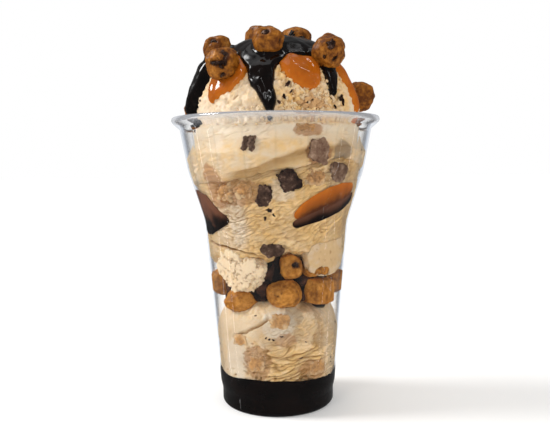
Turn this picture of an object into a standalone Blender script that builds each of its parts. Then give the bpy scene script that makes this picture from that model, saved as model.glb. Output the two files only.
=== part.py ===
"""Ice cream sundae with cookie dough, fudge and caramel, built in its clear plastic cup.

Sizes are in millimetres and azimuths in degrees: 0 faces the front (-Y), positive turns
towards +X. The origin is on the cup's axis, on the surface that the cup stands on.
"""
import math

import bmesh
import bpy
from mathutils import Euler, Vector, noise

MM = 0.001
SIDES = 28                 # facets round everything that fills the cup
GAP = 0.3                  # air between two touching solids
WALL_GAP = 0.4             # air between the food and the cup's facets
CUTTER_GROWTH = 0.45       # how much larger a cutter is than its piece, so that flat facets stay clear
JOIN_DISTANCES = (0.25, 0.15, 0.05, 0.0)   # tried in turn until a cut body stays closed
SHARP_ANGLE = 42.0         # degrees between facets that shade as an edge

# the cup
CUP_THICKNESS = 0.7
FOOT_RADIUS = 26.9
FOOT_HEIGHT = 7.0
RIM_RADIUS = 49.1
RIM_HEIGHT = 136.8
FLOOR_PUSH_UP = 3.5        # the floor's middle stands this high over the ring it rests on
REST_RING = (19.5, 25.6)   # inner and outer radius of that ring
WALL_KNOTS = (             # height, outer radius: step, slow taper up to the waist, then the bell
    (11.0, 27.8),
    (88.2, 34.2),
    (112.0, 41.6),
    (131.5, 45.2),
)

# the levels of the food
FUDGE_LEVEL = 15.8
FUDGE_TILT = 1.6
FUDGE_DISH_DEPTH = 0.8     # the fudge's middle lies this far below the edge that creeps up the wall
FUDGE_DISH_RADIUS = 14.0
FUDGE_DISH_EDGE = 0.87     # share of the wall's radius at which the dish begins
BOTTOM_SCOOP_CROWN = 59.0
CROWN_RADIUS = 30.0        # radius that the shares below are of
CROWN_STEPS = (0.92, 0.80, 0.45)
SHOULDER_RISE = 5.0        # from the bottom scoop's contact with the wall to its crown's edge
MIDDLE_SCOOP_KEEL = 63.5
TOP_SCOOP_KEEL = 112.0
DOME_CENTRE = Vector((1.0, 0.0, 134.0))
DOME_RADIUS = 38.3
DOME_TILTS = (90, 77, 64, 51, 38, 25, 12)     # rings of the dome, by tilt from its pole
SHELF_STEPS = (0.35, 0.75)                    # rings between the wall and the dome's belly
UNDERSIDE_STEPS = (0.45, 0.84)                # rings of the seam, as shares of the wall's radius
SKIRT_TUCK = 0.9           # the top scoop's lower edge curls in by this much
SKIRT_LIP = 2.4            # and meets the wall this far above that edge
WALL_UNROLL = 38.0         # radius at which the wall is unrolled to a flat sheet

# azimuth, value: what changes round the cup
BOTTOM_SHOULDER = ((-100, 38), (-60, 40), (-35, 44), (0, 46), (30, 45), (60, 37), (110, 41), (170, 43))
MIDDLE_KEEL_EDGE = ((-100, 68), (-60, 73), (-30, 73), (-10, 75), (5, 79), (22, 76), (50, 74),
                    (70, 72), (105, 66), (140, 70), (180, 67), (-140, 71))
SKIRT_EDGE = ((-90, 104), (-60, 107), (-40, 107.5), (-28, 109), (4, 113), (24, 115.5), (46, 118),
              (70, 115), (110, 108), (150, 104), (180, 107), (-130, 110))
SKIRT_RECESS = ((-90, 1.5), (-50, 1.5), (-35, 3.5), (0, 3.8), (35, 3.5), (55, 1.5), (110, 2.5),
                (160, 3.5), (-150, 2.0))
TOP_CONTACT = ((-90, 116), (-50, 119), (0, 117.5), (40, 121.5), (80, 119), (120, 116), (180, 117),
               (-130, 116))

# cookie dough balls on top: azimuth, tilt from the dome's pole, width, height, squareness and
# how far the ball's centre stands off the dome
TOP_DOUGH = (
    (-41, 56, 13.8, 13.4, 0.15, 5.4),
    (-76, 40, 13.6, 12.4, 0.25, 4.9),
    (-8, 38, 13.4, 11.4, 0.15, 4.6),
    (-150, 19, 13.5, 12.5, 0.75, 5.0),
    (144, 21, 14.0, 12.0, 0.45, 4.7),
    (43, 48, 12.6, 14.0, 0.20, 5.6),
    (105, 73, 12.2, 13.4, 0.35, 5.1),
    (-102, 80, 12.0, 12.2, 0.25, 1.8),
    (150, 52, 13.6, 13.0, 0.15, 5.2),
    (-136, 55, 14.0, 13.0, 0.30, 5.2),
    (-158, 77, 12.2, 12.0, 0.15, 4.6),
)

# dough between the scoops: azimuth, height, width, height of the piece, squareness
RING_DOUGH = (
    (-43, 52.6, 15.4, 12.6, 0.05),
    (7.5, 56.8, 15.8, 13.2, 0.10),
    (46, 57.0, 13.2, 12.0, 0.70),
    (-83, 59.5, 12.5, 14.0, 0.20),
    (82, 59.5, 12.0, 12.5, 0.30),
    (118, 56.0, 14.5, 13.0, 0.15),
    (156, 57.5, 14.0, 12.5, 0.30),
    (-163, 55.5, 15.0, 13.0, 0.10),
    (-123, 57.0, 13.5, 12.5, 0.60),
)
UPPER_DOUGH = (
    (14, 69.2, 10.4, 10.8, 0.10),
    (40, 67.6, 11.5, 6.4, 0.40),
)
BAND_DOUGH = (
    (-37.5, 103.6, 8.0, 9.2, 0.60),
    (-21.5, 104.0, 7.4, 7.2, 0.50),
    (26, 109.4, 9.6, 7.6, 0.50),
    (120, 104.0, 11.0, 9.0, 0.40),
    (-128, 104.5, 10.0, 9.0, 0.40),
)
# chocolate chunks: azimuth, height, width, height of the piece, lean in degrees
CHOC_CHUNKS = (
    (-16.5, 123.8, 6.4, 7.0, 10),
    (8, 108.2, 8.0, 9.6, -25),
    (-8, 101.8, 5.4, 9.4, 12),
    (-3, 77.6, 9.0, 5.0, 0),
    (43.5, 111.2, 7.8, 7.6, 0),
    (26, 120.2, 9.2, 9.0, 20),
    (165, 105.5, 8.0, 7.5, 15),
)
# pieces of ice cream that hang below the middle scoop's face: name, azimuth, height, size,
# lean in degrees, squareness, taper of the lower end
LUMPS = (
    ("lump_left", -35, 67.4, (25.0, 12.0, 18.5), 6, 0.05, 0.35),
    ("lump_right", 47, 72.8, (22.0, 9.0, 16.0), -7, 0.60, 0.10),
)
# bits of dough in the scoops' faces: azimuth, height, width, height of the piece
INCLUSIONS = (
    (20, 130.4, 10.8, 6.8),
    (2.4, 45.6, 8.8, 7.0),
    (-35.5, 35.8, 7.3, 4.8),
    (-19.3, 25.5, 8.0, 8.0),
    (40, 22.2, 10.4, 8.0),
)

# sauce on the dome, as tongues that run down it: points of azimuth, tilt and half width
FUDGE_CAP = ((-180, 46), (-150, 40), (-120, 44), (-95, 42), (-70, 41), (-40, 44), (-22, 56),
             (0, 53), (12, 45), (28, 46), (44, 50), (62, 46), (90, 40), (120, 45), (150, 42))
FUDGE_TONGUES = (
    ((-14, 40, 8.0), (-12, 58, 7.5), (-9, 69, 5.6), (-6, 77, 4.6), (-5, 83, 3.2)),
    ((-80, 38, 6.5), (-80, 50, 6.8), (-81, 63, 6.4), (-82, 73, 5.4), (-83, 80, 4.2)),
    ((46, 38, 6.0), (45, 54, 4.6), (42, 66, 3.0), (40.5, 72, 2.2)),
    ((118, 34, 7.0), (116, 52, 5.0), (114, 66, 3.4), (114, 75, 2.6)),
    ((168, 36, 8.0), (166, 54, 5.6), (163, 66, 4.0), (161, 76, 2.8)),
)
FUDGE_THICKNESS = 2.2
TONGUE_THICKNESSES = (2.7, 6.0, 2.7, 2.7, 2.7)      # of the fudge's tongues, in the same order
CARAMEL_THICKNESS = 1.8
FUDGE_LIFT = GAP + 0.4     # the fudge's underside over the dome, clear of its facets' edges
TONGUE_EDGE = 0.3          # thickness of a tongue's edge, as a share of its middle's
TONGUE_NOSE = 0.75         # how far its rounded tip reaches, in half widths
CARAMEL_TONGUES = {
    "caramel_top_left": ((-44, 42, 9.0), (-42, 54, 12.0), (-48, 64, 8.6), (-51, 71, 4.4),
                         (-51, 74.5, 2.6)),
    "caramel_top_centre": ((18, 40, 10.0), (19, 53, 10.3), (23, 60, 7.6), (26, 64.5, 3.6)),
    "caramel_top_right": ((62, 40, 6.0), (64, 56, 4.8), (66, 68, 4.2), (67, 80, 3.8)),
    "caramel_top_back": ((-168, 38, 8.0), (-166, 52, 9.0), (-172, 62, 6.5), (-175, 72, 3.0)),
}

# sauce pressed against the wall: points of azimuth, height and half width
CARAMEL_POCKET = ((15, 92.8, 1.2), (22, 96.2, 2.6), (33, 99.3, 3.4), (46, 102.0, 3.8),
                  (60, 103.6, 2.2))
RIGHT_FUDGE_POCKET = ((14, 89.0, 0.9), (24, 91.0, 1.7), (38, 93.6, 2.2), (52, 96.4, 2.2),
                      (66, 99.8, 1.4))
LEFT_FUDGE_POCKET = ((-98, 95.0, 3.0), (-86, 94.0, 8.5), (-70, 93.0, 9.6), (-58, 92.4, 8.6),
                     (-48, 90.8, 4.2), (-40, 90.6, 1.6))
POCKET_DEPTH = 3.6

MATERIALS = {              # colour, roughness, metallic
    "clear_plastic": ((0.90, 0.92, 0.93, 0.35), 0.08, 0.0),
    "vanilla_ice_cream": ((0.78, 0.60, 0.38, 1.0), 0.55, 0.0),
    "hot_fudge": ((0.020, 0.009, 0.006, 1.0), 0.12, 0.0),
    "caramel_sauce": ((0.55, 0.17, 0.025, 1.0), 0.12, 0.0),
    "cookie_dough": ((0.40, 0.18, 0.055, 1.0), 0.60, 0.0),
    "dark_chocolate": ((0.055, 0.025, 0.015, 1.0), 0.40, 0.0),
}


def clear_scene():
    for old in list(bpy.data.objects):
        bpy.data.objects.remove(old, do_unlink=True)


def material(name):
    found = bpy.data.materials.get(name)
    if found:
        return found
    colour, roughness, metallic = MATERIALS[name]
    made = bpy.data.materials.new(name)
    made.use_nodes = True
    shader = made.node_tree.nodes["Principled BSDF"]
    shader.inputs["Base Color"].default_value = colour
    shader.inputs["Roughness"].default_value = roughness
    shader.inputs["Metallic"].default_value = metallic
    shader.inputs["Alpha"].default_value = colour[3]
    return made


def polar(azimuth, radius, height):
    angle = math.radians(azimuth)
    return Vector((radius * math.sin(angle), -radius * math.cos(angle), height))


def azimuths(count=SIDES):
    return [360.0 * i / count for i in range(count)]


def between(knots, place):
    """Straight lines through (place, value) knots."""
    if place <= knots[0][0]:
        return knots[0][1]
    for (a, low), (b, high) in zip(knots, knots[1:]):
        if place <= b:
            return low + (high - low) * (place - a) / (b - a)
    return knots[-1][1]


def around(knots, azimuth):
    """A smooth closed curve through (azimuth, value) knots."""
    ordered = sorted((a % 360.0, value) for a, value in knots)
    ordered = ordered + [(ordered[0][0] + 360.0, ordered[0][1])]
    place = azimuth % 360.0
    if place < ordered[0][0]:
        place += 360.0
    for (a, low), (b, high) in zip(ordered, ordered[1:]):
        if place <= b:
            share = (1.0 - math.cos(math.pi * (place - a) / (b - a))) / 2.0
            return low + (high - low) * share
    return ordered[-1][1]


def inside_wall(height):
    """The largest radius that food may have at a height."""
    foot = ((0.0, FOOT_RADIUS), (FOOT_HEIGHT, FOOT_RADIUS))
    return between(foot + WALL_KNOTS, height) - CUP_THICKNESS - WALL_GAP


def relief(azimuth, height, seed, size=12.0):
    """Uneven ground from -1 to 1 round the cup, with lumps of about the size given."""
    spot = polar(azimuth, 30.0, height) / size
    return noise.noise(spot + Vector((seed * 7.3, seed * 3.1, seed * 5.7)))


def new_object(name, mesh, slot):
    mesh.materials.append(material(slot))
    mesh.shade_smooth()
    mesh.set_sharp_from_angle(angle=math.radians(SHARP_ANGLE))
    made = bpy.data.objects.new(name, mesh)
    bpy.context.collection.objects.link(made)
    return made


def solid(name, points, faces, slot):
    """A closed body from points in millimetres."""
    mesh = bpy.data.meshes.new(name)
    mesh.from_pydata([tuple(Vector(p) * MM) for p in points], [], faces)
    shell = bmesh.new()
    shell.from_mesh(mesh)
    bmesh.ops.triangulate(shell, faces=[f for f in shell.faces if len(f.verts) > 3])
    bmesh.ops.recalc_face_normals(shell, faces=shell.faces)
    shell.to_mesh(mesh)
    shell.free()
    return new_object(name, mesh, slot)


def mean_radius(points):
    return sum(math.hypot(p.x, p.y) for p in points) / len(points)


def turned(name, low_pole, rings, high_pole, slot):
    """A closed body from rings of equal count, listed from its low pole to its high one.

    Each quad is split from its inner ring's point to its outer ring's next one, so two
    bodies that meet along the same rings have parallel facets.
    """
    count = len(rings[0])
    points = [low_pole] + [p for ring in rings for p in ring] + [high_pole]
    top = len(points) - 1
    faces = []
    for i in range(count):
        j = (i + 1) % count
        faces.append((0, 1 + j, 1 + i))
        for k in range(len(rings) - 1):
            low, high = 1 + k * count, 1 + (k + 1) * count
            if mean_radius(rings[k + 1]) >= mean_radius(rings[k]):
                faces.append((low + i, low + j, high + j))
                faces.append((low + i, high + j, high + i))
            else:
                faces.append((low + i, low + j, high + i))
                faces.append((low + j, high + j, high + i))
        last = 1 + (len(rings) - 1) * count
        faces.append((last + i, last + j, top))
    return solid(name, points, faces, slot)


def ring(radius, height, count=SIDES):
    """One ring whose radius and height may each be a number or a function of azimuth."""
    found = []
    for azimuth in azimuths(count):
        r = radius(azimuth) if callable(radius) else radius
        z = height(azimuth) if callable(height) else height
        found.append(polar(azimuth, r, z))
    return found


def cut(target, cutters):
    for cutter in cutters:
        step = target.modifiers.new("cut_" + cutter.name[:50], 'BOOLEAN')
        step.operation = 'DIFFERENCE'
        step.solver = 'EXACT'
        step.object = cutter


def fuse(target, others):
    for other in others:
        step = target.modifiers.new("fuse_" + other.name[:50], 'BOOLEAN')
        step.operation = 'UNION'
        step.solver = 'EXACT'
        step.object = other
        as_guide(other)


def as_guide(body):
    body.hide_render = True
    body.display_type = 'WIRE'
    return body


def is_closed(shell):
    return all(len(edge.link_faces) == 2 for edge in shell.edges)


def shells_of(shell):
    """The separate bodies in a mesh, each as a list of its points, the largest first."""
    seen = set()
    found = []
    for start in shell.verts:
        if start in seen:
            continue
        stack = [start]
        seen.add(start)
        group = []
        while stack:
            vert = stack.pop()
            group.append(vert)
            for edge in vert.link_edges:
                other = edge.other_vert(vert)
                if other not in seen:
                    seen.add(other)
                    stack.append(other)
        found.append(group)
    return sorted(found, key=len, reverse=True)


def settle(body):
    """Applies a body's modifiers, drops loose scraps and joins points closer than a cut needs."""
    bpy.context.view_layer.update()
    graph = bpy.context.evaluated_depsgraph_get()
    mesh = bpy.data.meshes.new_from_object(body.evaluated_get(graph))
    body.modifiers.clear()
    body.data = mesh
    for distance in JOIN_DISTANCES:
        shell = bmesh.new()
        shell.from_mesh(mesh)
        for scrap in shells_of(shell)[1:]:
            bmesh.ops.delete(shell, geom=scrap, context='VERTS')
        bmesh.ops.triangulate(shell, faces=shell.faces)
        if distance:
            bmesh.ops.remove_doubles(shell, verts=shell.verts, dist=distance * MM)
            bmesh.ops.triangulate(shell, faces=shell.faces)
        for scrap in shells_of(shell)[1:]:
            bmesh.ops.delete(shell, geom=scrap, context='VERTS')
        closed = is_closed(shell)
        if closed or not distance:
            shell.to_mesh(mesh)
        shell.free()
        if closed:
            break
    mesh.shade_smooth()
    mesh.set_sharp_from_angle(angle=math.radians(SHARP_ANGLE))


def make_cup():
    """One thin turned wall: pushed-up floor, foot, step, taper, waist, bell and rolled rim."""
    t = CUP_THICKNESS
    low, wide = REST_RING
    outside = [(low - 2.2, FLOOR_PUSH_UP - 0.6), (low, 0.0), (wide, 0.0), (FOOT_RADIUS, 1.4),
               (FOOT_RADIUS, FOOT_HEIGHT)]
    outside += [(r, z) for z, r in WALL_KNOTS]
    top_z, top_r = WALL_KNOTS[-1]
    rim = [(RIM_RADIUS - 1.4, RIM_HEIGHT - 3.5), (RIM_RADIUS, RIM_HEIGHT - 2.0),
           (RIM_RADIUS - 0.6, RIM_HEIGHT - 0.4), (RIM_RADIUS - 1.9, RIM_HEIGHT),
           (top_r + 1.0, RIM_HEIGHT - 1.0)]
    inside = [(r - t, z) for z, r in reversed(WALL_KNOTS)]
    inside += [(FOOT_RADIUS - t, FOOT_HEIGHT), (FOOT_RADIUS - t, 1.8), (wide - 0.3, t + 0.2),
               (low + 0.5, t + 0.2), (low - 2.0, FLOOR_PUSH_UP + t - 0.4)]
    rings = [ring(r, z) for r, z in outside + rim + inside]
    centre = Vector((0.0, 0.0, FLOOR_PUSH_UP))
    return turned("cup", centre, rings, centre + Vector((0.0, 0.0, t)), "clear_plastic")


def fudge_level(azimuth):
    lean = FUDGE_TILT * math.cos(math.radians(azimuth + 25.0))
    return FUDGE_LEVEL + lean + 0.6 * relief(azimuth, 0.0, 1)


def make_fudge_base():
    """Fudge that fills the foot of the cup and creeps up its wall."""
    low, wide = REST_RING
    floor = CUP_THICKNESS + 0.2 + WALL_GAP
    corner = floor + 1.3
    step = WALL_KNOTS[0][0]
    dip = [ring(low - 2.4, FLOOR_PUSH_UP + CUP_THICKNESS + 0.1), ring(low + 0.7, floor),
           ring(wide - 0.9, floor), ring(inside_wall(corner), corner),
           ring(inside_wall(FOOT_HEIGHT), FOOT_HEIGHT), ring(inside_wall(step), step)]
    edge = ring(lambda a: inside_wall(fudge_level(a)), fudge_level)
    bottom = Vector((0.0, 0.0, FLOOR_PUSH_UP + CUP_THICKNESS + WALL_GAP))
    dish = fudge_dish(0.0)
    return turned("fudge_base", bottom, dip + [edge] + dish, Vector((0.0, 0.0, dish[-1][0].z)),
                  "hot_fudge")


def fudge_dish(lift):
    """The fudge's upper side inside its edge, or the same rings that far above it."""
    return [ring(lambda a: FUDGE_DISH_EDGE * inside_wall(fudge_level(a)),
                 lambda a: fudge_level(a) - FUDGE_DISH_DEPTH + lift),
            ring(FUDGE_DISH_RADIUS, FUDGE_LEVEL - FUDGE_DISH_DEPTH + lift)]


def crown_height(share, azimuth):
    """The bottom scoop's upper side: a low crown whose shoulder sinks towards the wall."""
    edge = around(BOTTOM_SHOULDER, azimuth) + SHOULDER_RISE
    drop = BOTTOM_SCOOP_CROWN - edge
    bump = 0.8 * relief(azimuth, 50.0 + 20.0 * share, 2)
    return BOTTOM_SCOOP_CROWN - drop * (share / CROWN_STEPS[0]) ** 2.6 + bump * share


def wall_face(azimuth, height, seed, depth=2.2):
    """Radius of a scoop's face: against the wall, with hollows where it stands back."""
    return inside_wall(height) - depth * max(0.0, relief(azimuth, height, seed))


def make_bottom_scoop():
    rings = list(reversed(fudge_dish(GAP)))
    rings.append(ring(lambda a: inside_wall(fudge_level(a)), lambda a: fudge_level(a) + GAP))
    steps = 4
    for k in range(1, steps + 1):
        def height(azimuth, share=k / steps):
            low = fudge_level(azimuth) + GAP
            return low + (around(BOTTOM_SHOULDER, azimuth) - low) * share
        rings.append(ring(lambda a, h=height: wall_face(a, h(a), 3), height))
    for share in CROWN_STEPS:
        rings.append(ring(share * CROWN_RADIUS, lambda a, s=share: crown_height(s, a)))
    return turned("scoop_bottom", Vector((0.0, 0.0, rings[0][0].z)), rings,
                  Vector((0.0, 0.0, BOTTOM_SCOOP_CROWN)), "vanilla_ice_cream")


def keel_height(share, azimuth):
    """The middle scoop's underside."""
    edge = around(MIDDLE_KEEL_EDGE, azimuth)
    return MIDDLE_SCOOP_KEEL + (edge - MIDDLE_SCOOP_KEEL) * share ** 1.6


def make_fudge_middle():
    """The fudge between the two lower scoops, with dough pressed into it all round."""
    reach, inner = CROWN_STEPS[1:]
    low = [ring(s * CROWN_RADIUS, lambda a, s=s: crown_height(s, a) + GAP) for s in (inner, reach)]
    high = [ring(s * CROWN_RADIUS, lambda a, s=s: keel_height(s, a) - GAP) for s in (reach, inner)]
    bulge = ring(lambda a: reach * CROWN_RADIUS + 1.6 + 0.9 * relief(a, BOTTOM_SCOOP_CROWN, 4),
                 lambda a: (crown_height(reach, a) + keel_height(reach, a)) / 2.0)
    return turned("fudge_middle", Vector((0.0, 0.0, BOTTOM_SCOOP_CROWN + GAP)), low + [bulge] + high,
                  Vector((0.0, 0.0, MIDDLE_SCOOP_KEEL - GAP)), "hot_fudge")


def underside(share, azimuth):
    """Height of the seam between the middle scoop and the top one."""
    edge = around(SKIRT_EDGE, azimuth)

    def knot(s):
        return TOP_SCOOP_KEEL + (edge - TOP_SCOOP_KEEL) * s ** 1.5
    places = (0.0,) + UNDERSIDE_STEPS + (1.0,)
    return between(tuple((s, knot(s)) for s in places), share)


def seam_radius(azimuth):
    return inside_wall(around(SKIRT_EDGE, azimuth))


def make_middle_scoop():
    rings = [ring(s * CROWN_RADIUS, lambda a, s=s: keel_height(s, a)) for s in reversed(CROWN_STEPS[1:])]
    rings.append(ring(lambda a: inside_wall(around(MIDDLE_KEEL_EDGE, a)) - 1.6,
                      lambda a: keel_height(1.0, a)))
    steps = 6
    for k in range(1, steps + 1):
        def height(azimuth, share=k / steps):
            rim = 1.0 - around(SKIRT_RECESS, azimuth) / seam_radius(azimuth)
            low = around(MIDDLE_KEEL_EDGE, azimuth) + 1.5
            first = 0.5 / steps
            return low + (underside(rim, azimuth) - GAP - low) * (share - first) / (1.0 - first)

        def radius(azimuth, h=height, share=k / steps):
            back = around(SKIRT_RECESS, azimuth) * max(0.0, (share - 0.6) / 0.4) ** 1.3
            return wall_face(azimuth, h(azimuth), 5) - back
        rings.append(ring(radius, height))
    for share in reversed(UNDERSIDE_STEPS):
        rings.append(ring(lambda a, s=share: s * seam_radius(a), lambda a, s=share: underside(s, a) - GAP))
    return turned("scoop_middle", Vector((0.0, 0.0, MIDDLE_SCOOP_KEEL)), rings,
                  Vector((0.0, 0.0, TOP_SCOOP_KEEL - GAP)), "vanilla_ice_cream")


def dome_point(azimuth, tilt, lift=0.0):
    """A point on the top scoop's dome, or that far above it."""
    angle = math.radians(tilt)
    out = polar(azimuth, math.sin(angle), math.cos(angle))
    bump = 0.9 * noise.noise(out * 2.0 + Vector((4.0, 9.0, 2.0)))
    return DOME_CENTRE + out * (DOME_RADIUS + bump + lift)


def make_top_scoop():
    rings = [ring(lambda a, s=s: s * seam_radius(a), lambda a, s=s: underside(s, a))
             for s in UNDERSIDE_STEPS]
    rings.append(ring(lambda a: seam_radius(a) - SKIRT_TUCK, lambda a: around(SKIRT_EDGE, a)))

    def lip(azimuth):
        return around(SKIRT_EDGE, azimuth) + SKIRT_LIP
    rings.append(ring(lambda a: inside_wall(lip(a)), lip))
    rings.append(ring(lambda a: inside_wall(around(TOP_CONTACT, a)), lambda a: around(TOP_CONTACT, a)))
    for share in SHELF_STEPS:
        shelf = []
        for azimuth in azimuths():
            low = polar(azimuth, inside_wall(around(TOP_CONTACT, azimuth)), around(TOP_CONTACT, azimuth))
            high = dome_point(azimuth, 92.0)
            spot = high.lerp(low, (1.0 - share) ** 1.6)
            spot.z = low.z + (high.z - low.z) * share
            shelf.append(spot)
        rings.append(shelf)
    for tilt in DOME_TILTS:
        rings.append([dome_point(a, tilt) for a in azimuths()])
    return turned("scoop_top", Vector((0.0, 0.0, TOP_SCOOP_KEEL)), rings, dome_point(0.0, 0.0),
                  "vanilla_ice_cream")


def lump(name, centre, size, turn, squareness, seed, slot, cells=0, grow=0.0, hug_wall=True,
         rough=0.10, taper=0.0):
    """A craggy piece, between a ball and a box, roughened and turned.

    size is width along the wall, depth and height. It is drawn from a cube's skin with so
    many cells to an edge, or from an icosphere where cells is 0. taper narrows its lower
    end. Points that would reach into the cup's wall are pressed flat against it.
    """
    shell = bmesh.new()
    if cells:
        bmesh.ops.create_cube(shell, size=2.0)
        bmesh.ops.subdivide_edges(shell, edges=shell.edges, cuts=cells - 1, use_grid_fill=True)
    else:
        bmesh.ops.create_icosphere(shell, subdivisions=2, radius=1.0)
    half = Vector(size) / 2.0
    power = 2.0 + 5.0 * squareness
    for vert in shell.verts:
        ball = vert.co.normalized()
        reach = sum(abs(side) ** power for side in ball) ** (-1.0 / power)
        crag = 1.0 + rough * noise.noise(ball * 1.9 + Vector((seed * 3.7, seed * 1.3, seed * 2.9)))
        spot = Vector((ball.x * half.x, ball.y * half.y, ball.z * half.z)) * reach * crag
        spot.x *= 1.0 - taper * max(0.0, -ball.z)
        spot = spot + ball * grow
        spot.rotate(turn)
        spot = spot + centre
        limit = inside_wall(spot.z) * math.cos(math.pi / SIDES) + grow
        out = math.hypot(spot.x, spot.y)
        if hug_wall and out > limit:
            spot.x *= limit / out
            spot.y *= limit / out
        vert.co = spot
    points = [vert.co.copy() for vert in shell.verts]
    faces = [tuple(v.index for v in f.verts) for f in shell.faces]
    shell.free()
    return solid(name, points, faces, slot)


def piece_with_cutter(name, **shape):
    """A piece and the slightly larger copy that its neighbours are cut by."""
    if shape["squareness"] >= 0.5:
        shape.setdefault("cells", 2)
    made = lump(name, **shape)
    cutter = as_guide(lump("cutter_" + name, grow=CUTTER_GROWTH, **shape))
    return made, cutter


def dough_in_cup(name, azimuth, height, width, tall, squareness, seed, stand_back=0.0):
    depth = (width + tall) / 2.0
    radius = inside_wall(height) - depth / 2.0 - stand_back
    return piece_with_cutter(name, centre=polar(azimuth, radius, height), size=(width, depth, tall),
                             turn=Euler((0.0, 0.0, math.radians(azimuth))), squareness=squareness,
                             seed=seed, slot="cookie_dough")


def dough_on_top(name, azimuth, tilt, width, tall, squareness, seat, seed):
    centre = dome_point(azimuth, tilt, seat)
    lean = Euler((math.radians(0.4 * tilt), 0.0, math.radians(azimuth + 24.0 * math.sin(seed * 2.3))))
    return piece_with_cutter(name, centre=centre, size=(width, (width + tall) / 2.0, tall), turn=lean,
                             squareness=squareness, seed=seed, slot="cookie_dough", hug_wall=False)


def flat_piece(name, azimuth, height, width, tall, lean, seed, slot, squareness=0.7, sunk=1.0):
    """A chunk that lies flat in a scoop's face."""
    depth = 0.6 * min(width, tall) + 1.0
    centre = polar(azimuth, face_radius(azimuth, height) - depth / 2.0 + 1.0 - sunk, height)
    turn = Euler((0.0, math.radians(lean), math.radians(azimuth)))
    return piece_with_cutter(name, centre=centre, size=(width, depth, tall), turn=turn,
                             squareness=squareness, seed=seed, slot=slot, cells=2)


def face_radius(azimuth, height):
    """Radius at which the food's face lies: the wall, or the top scoop where it stands free."""
    contact = around(TOP_CONTACT, azimuth)
    if height <= contact:
        return inside_wall(height)
    share = min(1.0, (height - contact) / (DOME_CENTRE.z - contact))
    return inside_wall(contact) + (DOME_RADIUS - inside_wall(contact)) * share ** 0.6


def dome_flat(x, y, lift):
    """Maps a flat sheet laid over the dome's pole onto the dome."""
    reach = math.hypot(x, y)
    return dome_point(math.degrees(math.atan2(x, -y)), math.degrees(reach / DOME_RADIUS), lift)


def dome_path(tongue):
    path = []
    for azimuth, tilt, half in tongue:
        reach = DOME_RADIUS * math.radians(tilt)
        spot = polar(azimuth, reach, 0.0)
        path.append((spot.x, spot.y, half))
    return path


def wall_flat(x, y, lift):
    """Maps a flat sheet onto the inside of the cup's wall, lifted towards the axis."""
    return polar(math.degrees(x / WALL_UNROLL), inside_wall(y) - lift, y)


def wall_path(tongue):
    return [(math.radians(azimuth) * WALL_UNROLL, height, half) for azimuth, height, half in tongue]


def smooth_path(path, steps):
    """Points on a Catmull-Rom curve through the path's own points."""
    ends = [path[0]] + list(path) + [path[-1]]
    found = []
    for k in range(steps + 1):
        place = k / steps * (len(path) - 1)
        i = min(int(place), len(path) - 2)
        t = place - i
        a, b, c, d = (Vector(p) for p in ends[i:i + 4])
        spot = 0.5 * (2 * b + (c - a) * t + (2 * a - 5 * b + 4 * c - d) * t * t
                      + (3 * b - a - 3 * c + d) * t ** 3)
        found.append(spot)
    return found


def tongue_solid(name, path, thickness, onto, slot, grow=0.0, base=0.0, steps=5, across=4, bead=0.25):
    """A tongue of sauce along a path on a flat sheet, mapped onto the dome or the wall.

    Its underside lies base above the surface and its back is rounded; bead thickens its tip.
    """
    spine = smooth_path(path, steps)
    rows = []
    for k, spot in enumerate(spine):
        ahead = spine[min(k + 1, steps)] - spine[max(k - 1, 0)]
        along = Vector((ahead.x, ahead.y)).normalized()
        side = Vector((-along.y, along.x))
        place = k / steps
        rows.append((Vector((spot.x, spot.y)), along, side, spot.z, place))
    points = []
    grid = []
    for centre, along, side, half, place in rows:
        line = []
        for j in range(across + 1):
            v = -1.0 + 2.0 * j / across
            spot = centre + side * (half + grow) * v
            round_back = math.sqrt(max(0.0, 1.0 - abs(v) ** 2.5))
            rise = thickness * (TONGUE_EDGE + (1.0 - TONGUE_EDGE) * round_back) * (1.0 + bead * place ** 3)
            line.append((spot, rise))
        grid.append(line)
    nose = rows[-1][0] + rows[-1][1] * (TONGUE_NOSE * rows[-1][3] + 1.5 * grow)
    tail = rows[0][0] - rows[0][1] * (TONGUE_NOSE * rows[0][3] + 1.5 * grow)
    width = across + 1
    for line in grid:
        for spot, rise in line:
            points.append(onto(spot.x, spot.y, base + rise + grow))
    under = len(points)
    for line in grid:
        for spot, rise in line:
            points.append(onto(spot.x, spot.y, base - grow))
    tips = [len(points) + i for i in range(4)]
    for spot in (nose, tail):
        points.append(onto(spot.x, spot.y, base + TONGUE_EDGE * thickness + grow))
        points.append(onto(spot.x, spot.y, base - grow))
    faces = []
    for k in range(steps):
        for j in range(across):
            a = k * width + j
            b = a + width
            faces.append((a, b, b + 1, a + 1))
            faces.append((under + a, under + a + 1, under + b + 1, under + b))
        left, right = k * width, k * width + across
        faces.append((left, under + left, under + left + width, left + width))
        faces.append((right, right + width, under + right + width, under + right))
    last = steps * width
    for j in range(across):
        faces.append((last + j, tips[0], last + j + 1))
        faces.append((under + last + j, under + last + j + 1, tips[1]))
        faces.append((j, j + 1, tips[2]))
        faces.append((under + j, tips[3], under + j + 1))
    faces.append((last, under + last, tips[1], tips[0]))
    faces.append((last + across, tips[0], tips[1], under + last + across))
    faces.append((0, tips[2], tips[3], under))
    faces.append((across, under + across, tips[3], tips[2]))
    return solid(name, points, faces, slot)


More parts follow.
